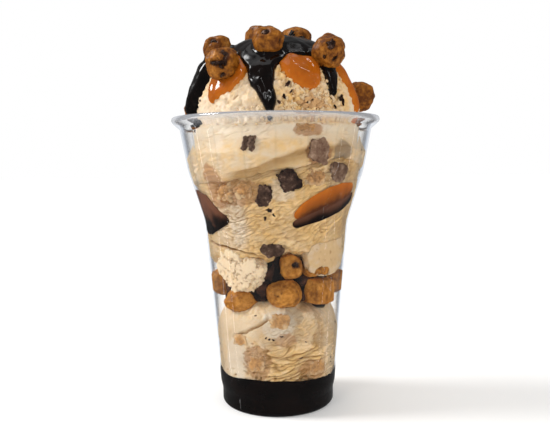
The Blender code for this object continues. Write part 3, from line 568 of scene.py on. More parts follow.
def smooth_path(path, steps):
    """Points on a Catmull-Rom curve through the path's own points."""
    ends = [path[0]] + list(path) + [path[-1]]
    found = []
    for k in range(steps + 1):
        place = k / steps * (len(path) - 1)
        i = min(int(place), len(path) - 2)
        found.append(curved(*(np.array(p) for p in ends[i:i + 4]), place - i))
    return found


def on_the_sheet(azimuth, tilt):
    """Where a direction from the dome's centre comes to lie on the flat sheet laid over the dome."""
    reach, angle = DOME_RADIUS * math.radians(tilt), math.radians(azimuth)
    return reach * math.sin(angle), -reach * math.cos(angle)


def tongue_field(x, y, tongue):
    """How far inside a tongue's edge each point of the sheet lies."""
    best = np.full(x.shape, -1e3)
    path = [on_the_sheet(azimuth, tilt) + (half,) for azimuth, tilt, half in tongue]
    for cx, cy, half in smooth_path(path, 48):
        best = np.maximum(best, half - np.hypot(x - cx, y - cy))
    return best


def joined(a, b, blend=2):
    """The larger of two fields, with a fillet where they meet."""
    share = np.clip(0.5 + 0.5 * (a - b) / blend, 0, 1)
    return b + (a - b) * share + blend * share * (1 - share)


def rounded_back(inside, edge):
    """Share of the full thickness that far inside a sauce's edge."""
    place = np.clip(inside / edge, 0, 1)
    return np.sqrt(np.maximum(0, 1 - (1 - place) ** 2))


def shell_faces(keep):
    """Faces of a closed shell over the cells of a grid whose corners are all kept, and its points."""
    cells = keep[:-1, :-1] & keep[1:, :-1] & keep[:-1, 1:] & keep[1:, 1:]
    used = np.zeros(keep.shape, dtype=bool)
    for corner in (used[:-1, :-1], used[1:, :-1], used[:-1, 1:], used[1:, 1:]):
        corner |= cells
    count = int(used.sum())
    index = np.full(keep.shape, -1)
    index[used] = np.arange(count)
    i, j = np.nonzero(cells)
    quads = np.stack((index[i, j], index[i + 1, j], index[i + 1, j + 1], index[i, j + 1]), axis=-1)
    edges = {}
    for quad in quads.tolist():
        for a, b in zip(quad, quad[1:] + quad[:1]):
            if (b, a) in edges:
                del edges[(b, a)]
            else:
                edges[(a, b)] = True
    rim = [(b, a, a + count, b + count) for a, b in edges]
    return quads.tolist() + (quads[:, ::-1] + count).tolist() + rim, used


def sheet(name, node, field, thickness, edge, skin, swell, seed, seats=(), drip=None):
    """A pool of sauce on the dome where the field is over 0, with a rounded edge and a thick drip."""
    line = np.arange(-SHEET_REACH, SHEET_REACH + SHEET_STEP, SHEET_STEP)
    x, y = np.meshgrid(line, line, indexing="ij")
    flat = np.stack((x, y, np.full(x.shape, 3 * seed)), axis=-1)
    inside = field(x, y) + 0.55 * lattice(flat / 6) + 0.22 * lattice(flat / 2.3)
    keep = inside > -1.2
    rise = thickness * rounded_back(inside, edge) * (1 + 0.26 * lattice(flat / 7 + 4))
    rise = rise + 0.28 * soft(inside, 0.5, 3) * lattice(flat / 3.6 + 8)
    rise = rise + swell * np.clip(inside - edge, 0, 3.5)
    if drip is not None:
        bulge = rounded_back(tongue_field(x, y, drip), 4.5)
        rise = rise + DRIP_RISE * bulge * soft(np.hypot(x, y), 24, 36)
    for cx, cy in seats:
        away = np.hypot(x - cx, y - cy) - SEAT_RADIUS
        rise = rise + SEAT_RISE * np.exp(-(away / 1.3) ** 2) * soft(inside, -0.5, 1.5)
    lift = np.where(inside > 0, rise - SHEET_SINK * (1 - soft(inside, 0, 0.8)), -SHEET_SINK - 0.6)
    azimuth = np.degrees(np.arctan2(x, -y))
    tilt = np.degrees(np.hypot(x, y) / DOME_RADIUS)
    over = dome_point(azimuth, tilt, lift)
    under = dome_point(azimuth, tilt, -1.8)
    faces, used = shell_faces(keep)
    points = np.concatenate((over[used], under[used]))
    thick = np.concatenate((rise[used], np.zeros(used.sum())))
    belong(put(name, points, faces, skin, thick=thick), node)


def ball_of(node):
    """A piece's centre and half sizes."""
    low, high = (np.array(corner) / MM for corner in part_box(node))
    return (low + high) / 2, (high - low) / 2


def ball_seat(node):
    """Where a ball of dough stands on the sheet."""
    centre = ball_of(node)[0] - DOME_CENTRE
    tilt = math.degrees(math.acos(centre[2] / np.linalg.norm(centre)))
    return on_the_sheet(math.degrees(math.atan2(centre[0], -centre[1])), tilt)


def make_sauces(fudge, caramel):
    seats = [ball_seat("dough_top_%d" % k) for k in range(1, 12)]

    def fudge_field(x, y):
        azimuth = np.degrees(np.arctan2(x, -y))
        inside = np.radians(around(FUDGE_CAP, azimuth)) * DOME_RADIUS - np.hypot(x, y)
        for tongue in FUDGE_TONGUES:
            inside = joined(inside, tongue_field(x, y, tongue))
        return inside
    sheet("fudge_sauce_top", "fudge_top", fudge_field, 2.2, 2.8, fudge, swell=0.14,
          seed=1, seats=seats, drip=FUDGE_TONGUES[1])
    for k, (node, tongue) in enumerate(CARAMEL_TONGUES.items()):
        def caramel_field(x, y, tongue=tongue):
            return np.minimum(tongue_field(x, y, tongue), 1.3 - fudge_field(x, y))
        sheet(node.replace("caramel_top", "caramel_sauce"), node, caramel_field, 2.1, 5, caramel,
              swell=0.05, seed=5 + k)


# fudge that has run over the front of a ball of dough: places and sizes
FUDGE_SPOTS = (
    ((5.2, 6.2, 173.6), 5), ((7.6, 5, 175), 5.2), ((7.4, 4.8, 172.4), 6), ((10.4, 4.6, 173.2), 5),
    ((4.4, 6, 171), 5), ((11.6, 4.8, 170.8), 4.6), ((8.4, 4.4, 170), 5.6),
)


def make_fudge_spots(skin):
    out = np.array((0, -0.94, 0.34))
    scattered("fudge_on_dough", "hot_fudge", skin,
              [(np.array(place), out, size, 0.45) for place, size in FUDGE_SPOTS])


def make_fudge_base(skin):
    """Fudge that fills the foot up to its wall and floor, with an edge that creeps up the wall."""
    az = np.linspace(0, 360, 192, endpoint=False)
    level = fudge_level(az)
    low, wide = REST_RING
    t = CUP_THICKNESS
    r = REACH_SAUCE
    profile = [
        (4, FLOOR_PUSH_UP + t - 0.1), (low - 2.2, FLOOR_PUSH_UP + t - 0.6), (low + 0.4, t),
        (wide - 0.6, t), (FOOT_RADIUS - t - 0.5 + r, 1.1), (FOOT_RADIUS - t + r, 2.2),
        (FOOT_RADIUS - t + r, 4.5), (FOOT_RADIUS - t + r, FOOT_HEIGHT),
        (float(wall(9)) + r, 9), (float(wall(11)) + r, 11),
    ]
    rows = [polar(az, radius, height) for radius, height in profile]
    for share in np.linspace(0.2, 1, 9):
        height = 11 + (level - 11) * share
        rows.append(polar(az, wall(height) + r, height))
    for step_in, drop in ((0.35, 0), (1.2, 0.5), (2.6, 0.9), (8, 1), (16, 1)):
        rows.append(polar(az, wall(level) - step_in, level - drop))
    body = turned("fudge_base_fill", np.array(rows), (0, 0, FLOOR_PUSH_UP + t - 0.1),
                  (0, 0, FUDGE_LEVEL - 1), skin)
    belong(body, "fudge_base")


# pieces made from their CAD solids

def remeshed(node, voxel, rounds):
    """Points, faces and normals of a node's solid, remeshed finely and smoothed."""
    holder = added("holder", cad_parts[node].data.copy())
    step = holder.modifiers.new("remesh", 'REMESH')
    step.mode = 'VOXEL'
    step.voxel_size = voxel * MM
    relax = holder.modifiers.new("relax", 'SMOOTH')
    relax.factor = 0.5
    relax.iterations = rounds
    bpy.context.view_layer.update()
    mesh = bpy.data.meshes.new_from_object(holder.evaluated_get(bpy.context.evaluated_depsgraph_get()))
    count = len(mesh.vertices)
    points = np.empty(count * 3)
    mesh.vertices.foreach_get("co", points)
    normals = np.empty(count * 3)
    mesh.vertex_normals.foreach_get("vector", normals)
    faces = [tuple(f.vertices) for f in mesh.polygons]
    bpy.data.objects.remove(holder)
    bpy.data.meshes.remove(mesh)
    return points.reshape(-1, 3) / MM, faces, normals.reshape(-1, 3)


HIGHEST = 181.1            # top of the sundae, which no relief goes past


def piece(name, node, voxel, rounds, shape, skin, reach=None, within=1, tone=0.5, frosted=0,
          grey=0):
    """A node's solid with relief from shape(points), in the node's place.

    With a reach it is pressed against the cup's wall where it comes closer than within. A frosted
    piece has ice cream smeared over its edges.
    """
    points, faces, normals = remeshed(node, voxel, rounds)
    height, dip = shape(points)
    moved = points + normals * height[:, None]
    if reach is not None:
        moved = held_in(pressed_out(moved, reach, within), reach)
    moved[:, 2] = np.minimum(moved[:, 2], HIGHEST)
    shade = tone(points) if callable(tone) else tone + 0.12 * cloud(points, 9, 2, 31)
    low, high = points.min(axis=0), points.max(axis=0)
    middle = (low + high) / 2
    side = polar(float(azimuth_of(middle)) + 90, 1, 0)
    across = (points - middle) @ side
    away = np.hypot(across / np.abs(across).max(), (points - middle)[:, 2] / (high[2] - middle[2]))
    smear = frosted * (0.35 + 0.65 * soft(away + 0.45 * cloud(points, 2.4, 3, 33), 0.55, 1.25))
    body = put(name, moved, faces, skin, dip=dip, tone=shade, frost=smear, grey=np.full(len(points), grey))
    belong(body, node)


# chips in the balls: azimuth and height in degrees of each one's place on its ball, and its size
FRONT_CHIPS = {
    "dough_top_1": ((-10, 37, 2), (2, 39, 2.3), (12, 34, 2.4), (19, 26, 2.3), (18, 15, 2.3), (12, 5, 2.3),
                    (4, -5, 2.2), (-38, -3, 1.6), (-29, -4, 1.8), (-19, -6, 1.9), (-8, -6, 2),
                    (14, -8, 1.8), (-2, -20, 1.7), (2, -52, 2.4)),
    "dough_top_2": ((-30, 30, 1.8), (-22, 34, 2), (-12, 32, 1.8), (-4, 28, 1.5), (-34, 20, 1.5)),
    "dough_top_3": ((-14, 26, 2.8), (-7, 22, 2.2), (-18, 20, 1.6), (52, -14, 2.6), (56, -4, 2)),
    "dough_top_5": ((40, 20, 2.2), (46, 8, 1.8)),
    "dough_top_6": ((6, 16, 3), (16, 20, 1.8), (-4, 20, 1.6), (4, 4, 2), (14, 8, 1.6), (18, -42, 1.8),
                    (28, -34, 1.5), (-22, -30, 1.2)),
    "dough_top_4": ((20, 10, 1.8),),
    "dough_upper_1": ((24, 18, 2.6), (32, 14, 2), (14, 12, 1.6)),
    "dough_ring_2": ((-50, 30, 1.8),),
}
BACK_CHIPS = 3             # chips on the far side of each ball


def nodes_named(*starts):
    return sorted(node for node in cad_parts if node.startswith(starts))


def chip_places():
    """Every chip's centre, outward direction, size and ball."""
    draws = np.random.default_rng(11)
    chips = [(node, *chip) for node, places in FRONT_CHIPS.items() for chip in places]
    for node in nodes_named("dough_top", "dough_ring"):
        for _ in range(BACK_CHIPS):
            azimuth, height = draws.uniform(90, 270), draws.uniform(-25, 60)
            chips.append((node, azimuth, height, draws.uniform(1.8, 3.4)))
    found = []
    for node, azimuth, height, size in chips:
        centre, half = ball_of(node)
        out = polar(azimuth, math.cos(math.radians(height)), math.sin(math.radians(height)))
        found.append((centre + out * half.min() * 0.97, out, size, node))
    return found


CHIPS = chip_places()


def dough_shape(seed, node):
    """Soft lumps, fine grain, a few cracks and a dent round each chip."""
    chips = [(centre, size) for centre, _, size, ball in CHIPS if ball == node]

    def shape(points):
        lumps = 0.6 * cloud(points, 6.5, 2, seed)
        grain = 0.10 * cloud(points, 1.5, 2, seed + 2)
        crack = np.clip(1 - np.abs(cloud(points, 5.5, 1, seed + 5)) / 0.05, 0, 1)
        crack = crack * soft(cloud(points, 7, 1, seed + 8), 0, 0.3)
        dent = 0
        for centre, size in chips:
            dent = dent + np.exp(-(np.linalg.norm(points - centre, axis=1) / (0.62 * size)) ** 4)
        dent = np.clip(dent, 0, 1)
        # the dip darkens the colour as painted shade: in the cracks, the low parts between lumps and the
        # dents round the chips
        height = 0.25 + lumps + grain - 0.5 * crack - 0.9 * dent
        return height, np.clip(0.6 * crack - 0.4 * lumps - grain + 0.9 * dent, 0, 1)
    return shape


def crumb_shape(seed):
    """A crumb pressed into the ice cream: a torn outline and a mealy face."""
    def shape(points):
        torn = 1.1 * (billow(points, 3, seed, 3) - 0.55)
        # the dip paints the low parts of the crumb's face darker as painted shade
        return 0.1 + torn, np.clip(0.9 * (0.5 - billow(points, 1.6, seed + 3)), 0, 1)
    return shape


def scattered(name, slot, skin, places, **tints):
    """One joined mesh of small craggy bits, from (centre, outward direction, size, flatness)."""
    turns = np.random.default_rng(31)
    ball = bmesh.new()
    bmesh.ops.create_icosphere(ball, subdivisions=3, radius=1)
    unit = np.array([v.co[:] for v in ball.verts])
    corners = [tuple(v.index for v in f.verts) for f in ball.faces]
    ball.free()
    points, faces = [], []
    for k, (centre, out, size, flatness) in enumerate(places):
        crag = 0.62 + 0.5 * billow(unit, 0.9, 3 + 1.3 * k) + 0.15 * lattice(unit * 4 + k)
        shape = unit * crag[:, None] * size / 2
        along = np.cross(out, turns.normal(size=3))
        along /= np.linalg.norm(along)
        for way, stretch in ((along, 0.45), (np.cross(out, along), -0.30), (out, -flatness)):
            shape = shape + way * ((shape @ way) * stretch)[:, None]
        first = len(points) * len(unit)
        points.append(shape + centre)
        faces += [tuple(first + i for i in corner) for corner in corners]
    steady = {tint: np.full(len(places) * len(unit), value) for tint, value in tints.items()}
    belong(put(name, np.concatenate(points), faces, skin, **steady))


def make_chips(skin):
    places = [(centre - out * 0.16 * size, out, size, 0.45) for centre, out, size, _ in CHIPS]
    scattered("chocolate_chips", "dark_chocolate", skin, places)


# specks that the ice cream's face shows at the front: azimuth, height, size
FRONT_SPECKS = (
    (22, 27.5, 1.6), (-7, 37.5, 1.5), (-4, 37, 1.1), (-10, 37.8, 1), (39, 73, 1.3), (47, 76, 1),
    (52, 75.5, 1), (58, 75, 0.9), (3.5, 38.5, 1.2), (-20, 47.5, 1), (33, 24, 1.2), (26, 35, 0.8),
    (13, 50, 1.7), (-12, 101, 2), (-5, 95.5, 2.6), (-8, 92.5, 2.2), (-2, 93.5, 1.6),
)
# specks and crumbs of dough that show on the dome: azimuth, tilt from its pole, size
DOME_SPECKS = (
    (7, 68, 2.4), (4, 76, 1.9), (1, 80, 1.6), (48, 79, 2.2), (24, 66, 1.4), (40, 82, 1.4),
    (47, 76, 2.6), (19, 80, 1.6), (24, 79, 1.8), (22, 83, 1.4), (9, 73, 1.4), (13, 62, 2.6),
)
DOME_CRUMBS = (
    (20, 78, 3.4), (23, 81, 4.2), (26, 79, 3.6), (18, 82, 3), (28, 82, 3.2), (23, 76, 2.4),
    (30, 79, 2.2), (15, 80, 2.2), (33, 82, 2),
)
BACK_SPECKS = 90           # specks round the rest of the cup
BACK_DOME_SPECKS = 26      # and round the rest of the dome
FLAKES = (150, 110, 60)    # crumbs of ice cream in front, behind and along the rim on the left


def on_the_face(azimuth, height, bodies):
    """Where a ray from outside meets the food behind the wall, or None if there is only air there."""
    out = polar(azimuth, 1, 0)
    start = out * 60 + (0, 0, height)
    best = None
    for body in bodies:
        hit, place, _, _ = body.ray_cast(Vector(start) * MM, Vector(-out))
        if hit and (best is None or (start - np.array(place) / MM) @ out < best):
            best = (start - np.array(place) / MM) @ out
    if best is None or 60 - best < float(wall(height)) - 1.6:
        return None
    return start - out * best


def on_the_dome(azimuth, tilt, size, lift=0, flatness=0.3):
    """A bit on the dome, as scattered takes it."""
    return dome_point(azimuth, tilt, lift), dome_directions(azimuth, tilt), size, flatness


def make_specks(chocolate, dough, cream, bodies):
    """Fine specks in the ice cream's face, and crumbs and specks on the dome."""
    draws = np.random.default_rng(5)
    bpy.context.view_layer.update()
    places = []
    specks = list(FRONT_SPECKS)
    for _ in range(BACK_SPECKS):
        specks.append((draws.uniform(60, 300), draws.uniform(18, 128), draws.uniform(0.8, 2)))
    for azimuth, height, size in specks:
        centre = on_the_face(azimuth, height, bodies)
        if centre is not None:
            out = polar(azimuth, 1, 0)
            places.append((centre + out * (REACH_PIECE - REACH_ICE - 0.14 * size), out, size, 0.72))
    dome = list(DOME_SPECKS)
    for _ in range(BACK_DOME_SPECKS):
        dome.append((draws.uniform(70, 290), draws.uniform(50, 92), draws.uniform(1, 2.4)))
    places += [on_the_dome(*speck, lift=0.4) for speck in dome]
    scattered("chocolate_specks", "dark_chocolate", chocolate, places)
    crumbs = [on_the_dome(*crumb, lift=0.1, flatness=0.2) for crumb in DOME_CRUMBS]
    flakes = []
    front, behind, left = FLAKES
    for k in range(front + behind):
        azimuth = draws.normal(24, 13) if k < front else draws.uniform(100, 240)
        tilt = draws.uniform(62, 91)
        found = flakes if draws.random() < 0.86 else crumbs
        found.append(on_the_dome(azimuth, tilt, draws.uniform(0.8, 2.4)))
    for _ in range(left):
        azimuth, tilt = -5 + draws.normal(0, 9), draws.uniform(81, 91)
        flakes.append(on_the_dome(azimuth, tilt, draws.uniform(0.8, 1.8), lift=0.1))
    scattered("dough_crumbs", "cookie_dough", dough, crumbs, tone=0.75, frost=0.5)
    scattered("ice_cream_crumbs", "ice_cream", cream, flakes, tone=0.85)


def make_dough(skin):
    for k, node in enumerate(nodes_named("dough")):
        shape = dough_shape(1 + 0.7 * k, node)
        if node.startswith("dough_top"):
            piece("cookie_" + node, node, 0.5, 8, shape, skin, tone=0.34)
        elif node.startswith(("dough_bit", "dough_band")):
            piece("cookie_" + node, node, 0.4, 4, crumb_shape(2 + 1.3 * k), skin,
                  REACH_PIECE, within=1.1, tone=0.62, frosted=0.85)
        else:
            piece("cookie_" + node, node, 0.55, 8, shape, skin, REACH_PIECE, within=0.8,
                  tone=0.66)


# how pale the chunks are that cream clouds, where the others have 0.05
PALE_CHUNKS = {"choc_chunk_1": 0.35, "choc_chunk_4": 0.2, "choc_chunk_5": 0.6, "choc_chunk_6": 0.85}


def make_chunks(skin):
    for k, node in enumerate(nodes_named("choc_chunk")):
        def shape(points, seed=3 + k):
            crag = 1.6 * (billow(points, 4.4, seed, 2) - 0.6) + 0.5 * (billow(points, 1.8, seed) - 0.5)
            return 0.2 + crag, np.clip(-0.6 * crag, 0, 1)
        piece("dark_" + node, node, 0.4, 3, shape, skin, REACH_PIECE, within=2.2,
              tone=PALE_CHUNKS.get(node, 0.05))


def make_lumps(skin):
    def torn(points):
        crag = 1.3 * (billow(points, 4, 4, 3) - 0.5) + 0.8 * (billow(points, 1.6, 2, 2) - 0.5)
        # the dip paints the hollows darker as painted shade, and below 0 paints the tops of the crags paler
        # as a painted highlight
        return 0.4 + crag, np.clip(-0.45 * crag, 0, 1) - 0.4 * np.clip(crag - 0.2, 0, 0.6)

    def frosty(points):
        crag = 0.5 * (billow(points, 5, 6, 2) - 0.5) + 0.2 * (billow(points, 1.8, 2) - 0.5)
        hole = pits(points, 1.8, 0.45, 4)
        # the dip paints the pits and hollows darker as painted shade
        return 0.4 + crag - 0.6 * hole, np.clip(0.6 * hole - 0.4 * crag, 0, 1)
    piece("ice_cream_lump_left", "lump_left", 0.4, 2, torn, skin, REACH_LUMP,
          within=0.5, tone=1)
    # the right lump's frosted edges are paler: frost, and a painted highlight along its edge
    piece("ice_cream_lump_right", "lump_right", 0.4, 3, frosty, skin, REACH_LUMP,
          within=1.2, tone=0.34, frosted=0.55, grey=0.3)


# the right pocket's upper edge and the line where its caramel turns to fudge: azimuth and height
POCKET_TOP = ((13, 92.6), (22, 99.8), (35, 103), (42, 106.6), (54, 106.5), (63, 104.8))
POCKET_LINE = ((14, 90), (31, 95), (50, 97.7), (65, 101.3))


def wavy(lift, strength, size, seed):
    """A smooth sauce: its lift from the solid and its gentle waves."""
    return lambda points: (lift + strength * cloud(points, size, 2, seed), np.zeros(len(points)))


def make_pockets(fudge, pressed, caramel):
    calm = wavy(0.75, 0.25, 8, 2)

    def depth(points):
        """0 at the pocket's upper edge and 1 where the caramel turns to fudge."""
        azimuth = azimuth_of(points)
        upper, line = (np.interp(azimuth, *zip(*knots)) for knots in (POCKET_TOP, POCKET_LINE))
        return np.clip((upper - points[:, 2]) / np.maximum(upper - line, 2), 0, 2)

    # the fudge is brown next to the caramel and darkens to black further down, carrying on the pocket's
    # painted shading
    def brown(points):
        return 0.75 * (1 - soft(depth(points), 0.9, 1.5))

    def clouded(points):
        veil = soft(points[:, 2] + 2.5 * cloud(points, 6, 2, 7), 88, 97)
        return 0.95 * veil + 0.25 * soft(cloud(points, 5, 2, 9), 0.2, 0.8)
    # The caramel runs from light golden at the pocket's upper edge to dark where it meets the fudge: painted
    # shading as on a lit dome, over the caramel's own darkening where it turns to fudge.
    piece("caramel_at_the_wall", "caramel_pocket", 0.45, 3, calm, caramel, REACH_SAUCE,
          within=2, tone=lambda points: 0.22 + 0.95 * depth(points))
    piece("fudge_at_the_wall_right", "fudge_pocket_right", 0.45, 3, calm, pressed, REACH_SAUCE,
          within=2, tone=brown)
    piece("fudge_at_the_wall_left", "fudge_pocket_left", 0.5, 4, calm, pressed, REACH_SAUCE,
          within=1.8, tone=clouded)
    piece("fudge_between_scoops", "fudge_middle", 0.8, 6, wavy(0.8, 0.5, 7, 5), fudge,
          tone=lambda points: 0.45 * soft(cloud(points, 7, 2, 12), -0.1, 0.7))


# the cup

def rounded(corners, radius=0.8, steps=5):
    """A profile with each inner corner eased by a short curve."""
    found = [np.array(corners[0])]
    for before, here, after in zip(corners, corners[1:], corners[2:]):
        before, here, after = np.array(before), np.array(here), np.array(after)
        near, far = (here + way * min(radius / np.linalg.norm(way), 0.45)
                     for way in (before - here, after - here))
        for k in range(steps + 1):
            t = k / steps
            found.append((1 - t) ** 2 * near + 2 * t * (1 - t) * here + t * t * far)
    found.append(np.array(corners[-1]))
    return found


CREASE_PITCH = 18          # degrees between the faint upright creases of the upper wall
CREASE_DEPTH = 0.12


def make_cup(skin):
    t = CUP_THICKNESS
    low, wide = REST_RING
    foot = [(6, FLOOR_PUSH_UP), (low - 2.2, FLOOR_PUSH_UP - 0.6), (low, 0), (wide, 0),
            (FOOT_RADIUS, 1.4), (FOOT_RADIUS, FOOT_HEIGHT), (WALL_KNOTS[0][1], WALL_KNOTS[0][0]),
            (float(wall(14)) + t, 14)]
    heights = np.linspace(16, 131, 90)
    outside = [(float(r) + t, float(z)) for r, z in zip(wall(heights), heights)]
    rim = [outside[-1], (RIM_RADIUS - 1.4, RIM_HEIGHT - 3.6), (RIM_RADIUS, RIM_HEIGHT - 2),
           (RIM_RADIUS - 0.5, RIM_HEIGHT - 0.3), (RIM_RADIUS - 1.8, RIM_HEIGHT),
           (RIM_RADIUS - 3, RIM_HEIGHT - 1.2), (outside[-1][0] - t, outside[-1][1] + 0.4)]
    inside = [(r - t, z) for r, z in reversed(outside)]
    under = [inside[-1], (float(wall(14)), 14), (WALL_KNOTS[0][1] - t, WALL_KNOTS[0][0]),
             (FOOT_RADIUS - t, FOOT_HEIGHT), (FOOT_RADIUS - t, 1.8), (wide - 0.3, t + 0.1),
             (low + 0.5, t + 0.1), (low - 2, FLOOR_PUSH_UP + t - 0.4), (6, FLOOR_PUSH_UP + t)]
    profile = rounded(foot) + [np.array(p) for p in outside] + rounded(rim, 1.2, 6)[1:]
    profile += [np.array(p) for p in inside[1:]] + rounded(under)[1:]
    az = np.arange(360)
    r, z = np.array(profile).T
    beyond = r > wall(z) + 0.5 * t
    upper = soft(z, 89, 93) * (1 - soft(z, 129, 132)) * beyond
    crease = upper[:, None] * (az % CREASE_PITCH == 0)
    rows = polar(az[None, :], r[:, None] - CREASE_DEPTH * crease, z[:, None])
    milky = np.broadcast_to(soft(z, RIM_HEIGHT - 3.4, RIM_HEIGHT - 1.8)[:, None], crease.shape)
    open_wall = np.broadcast_to(soft(z, FUDGE_LEVEL - 3, FUDGE_LEVEL + 3)[:, None], crease.shape)
    body = turned("cup_clear", rows, (0, 0, FLOOR_PUSH_UP), (0, 0, FLOOR_PUSH_UP + t), skin,
                  crease=crease, milky=milky, open_wall=open_wall)
    belong(body, "cup")


# materials

class Nodes:
    """The nodes of a material or a world: each call adds one node and sets or links its inputs."""

    def __init__(self, owner, shader):
        owner.use_nodes = True
        self.owner = owner
        self.tree = owner.node_tree
        self.shader = self.tree.nodes[shader]

    def node(self, kind, outlet=0, settings=None, **inputs):
        made = self.tree.nodes.new("ShaderNode" + kind)
        for key, value in (settings or {}).items():
            setattr(made, key, value)
        for key, value in inputs.items():
            self.give(made, key, value)
        return made.outputs[outlet]

    def give(self, node, key, value):
        """Links or sets an input, by its name or as i and its number; a colour may leave out its alpha."""
        socket = node.inputs[int(key[1:]) if key[1:].isdigit() else key.replace("_", " ")]
        if isinstance(value, bpy.types.NodeSocket):
            self.tree.links.new(value, socket)
        elif socket.type == 'RGBA':
            socket.default_value = (*value, 1.0)
        else:
            socket.default_value = value

    def set(self, **inputs):
        for key, value in inputs.items():
            self.give(self.shader, key, value)

    def noise(self, size, detail=3.0, roughness=0.55):
        """Noise from 0 to 1 whose lumps are about size millimetres."""
        return self.node("TexNoise", Vector=self.node("TexCoord", "Object"), Scale=1000.0 / size,
                         Detail=detail, Roughness=roughness)

    def tint(self, name):
        return self.node("Attribute", "Fac", settings={"attribute_name": name})

    def ramp(self, value, *stops):
        """A colour ramp from (place, colour) stops."""
        made = self.tree.nodes.new("ShaderNodeValToRGB")
        ramp = made.color_ramp
        while len(ramp.elements) < len(stops):
            ramp.elements.new(0.5)
        for element, (place, colour) in zip(ramp.elements, stops):
            element.position = place
            element.color = (*colour, 1.0)
        self.tree.links.new(value, made.inputs[0])
        return made.outputs[0]

    def math(self, operation, a, b=0.0, c=0.0, clamp=False):
        return self.node("Math", settings={"operation": operation, "use_clamp": clamp}, i0=a, i1=b, i2=c)

    def mix(self, share, a, b):
        return self.node("Mix", 2, settings={"data_type": 'RGBA'}, i0=share, i6=a, i7=b)

    def mix_shader(self, share, a, b):
        return self.node("MixShader", i0=share, i1=a, i2=b)

    def bump(self, height, strength, distance):
        self.set(Normal=self.node("Bump", Height=height, Strength=strength, Distance=distance * MM))

    def eye(self):
        """1 for rays that come from the camera, straight or through the clear wall."""
        return self.math('MAXIMUM', self.node("LightPath", "Is Camera Ray"),
                         self.node("LightPath", "Is Transmission Ray"))


def skin_nodes(name):
    return Nodes(bpy.data.materials.new(name), "Principled BSDF")


def ice_cream_skin():
    skin = skin_nodes("ice_cream_cream")
    mottle = skin.math('MULTIPLY_ADD', skin.noise(2.6, 3.0, 0.6), 0.8, -0.4)
    colour = skin.ramp(skin.math('ADD', skin.tint("tone"), mottle), (0.0, (0.65, 0.365, 0.115)),
                       (0.45, (0.79, 0.495, 0.195)), (1.0, (0.765, 0.58, 0.38)))
    # The first tint makes the cream paler: for frost and smears of cream, and also for painted highlights
    # and painted light near the rim.
    for tint, shade in (("frost", (0.78, 0.67, 0.53)), ("grey", (0.31, 0.215, 0.125)),
                        ("rust", (0.44, 0.195, 0.075))):
        colour = skin.mix(skin.tint(tint), colour, shade)
    # dip: darker in hollows and grooves as painted shade, and paler on the ridges beside them as a painted
    # highlight
    for scale, shade in ((-1.2, (0.86, 0.71, 0.48)), (1.0, (0.34, 0.165, 0.040))):
        colour = skin.mix(skin.math('MULTIPLY', skin.tint("dip"), scale, clamp=True), colour, shade)
    skin.set(Base_Color=colour, Roughness=0.45, Specular_IOR_Level=0.3, Subsurface_Weight=0.12,
             Subsurface_Radius=(0.9, 0.55, 0.3), Subsurface_Scale=0.003)
    skin.bump(skin.noise(0.7, 2.0, 0.6), 0.35, 0.25)
    return skin.owner


def fudge_skin(name, gloss):
    skin = skin_nodes(name)
    colour = skin.ramp(skin.noise(9.0, 2.0), (0.35, (0.0012, 0.0006, 0.0005)), (0.7, (0.005, 0.002, 0.0014)))
    colour = skin.mix(skin.tint("tone"), colour, (0.16, 0.062, 0.034))
    rough = skin.ramp(skin.noise(12.0, 2.0), (0.40, (0.06, 0.06, 0.06)), (0.62, (0.26, 0.26, 0.26)))
    skin.set(Base_Color=colour, Roughness=rough, Specular_IOR_Level=gloss)
    skin.bump(skin.noise(5.0, 1.0), 0.2, 0.4)
    return skin.owner


def caramel_skin():
    skin = skin_nodes("caramel_syrup")
    cloudy = skin.math('MULTIPLY_ADD', skin.noise(5.0, 2.0), 0.4, -0.2)
    deep = skin.math('MAXIMUM', skin.tint("tone"), skin.math('MULTIPLY', skin.tint("thick"), 0.22))
    colour = skin.ramp(skin.math('ADD', deep, cloudy), (0.0, (0.60, 0.185, 0.016)),
                       (0.35, (0.42, 0.102, 0.006)), (0.75, (0.25, 0.066, 0.005)),
                       (1.0, (0.075, 0.020, 0.004)))
    skin.set(Base_Color=colour, Roughness=0.09, Specular_IOR_Level=0.45, Subsurface_Weight=0.12,
             Subsurface_Radius=(1.0, 0.35, 0.1), Subsurface_Scale=0.002)
    return skin.owner


def dough_skin():
    skin = skin_nodes("cookie_dough_crumb")
    mottle = skin.math('MULTIPLY', skin.noise(1.8, 3.0, 0.6), 0.6)
    value = skin.math('MULTIPLY_ADD', skin.noise(6.0, 2.0), 0.4, mottle)
    lean = skin.math('MULTIPLY_ADD', skin.tint("tone"), 0.5, -0.25)
    colour = skin.ramp(skin.math('ADD', value, lean), (0.32, (0.110, 0.030, 0.003)),
                       (0.50, (0.31, 0.108, 0.011)), (0.68, (0.58, 0.245, 0.042)))
    colour = skin.mix(skin.tint("frost"), colour, (0.66, 0.47, 0.27))
    # dip: painted shade in cracks, hollows and dents
    dip = skin.math('MULTIPLY', skin.tint("dip"), 0.9, clamp=True)
    colour = skin.mix(dip, colour, (0.050, 0.012, 0.002))
    skin.set(Base_Color=colour, Roughness=0.40, Specular_IOR_Level=0.16)
    skin.bump(skin.noise(0.9, 3.0, 0.6), 0.35, 0.3)
    return skin.owner


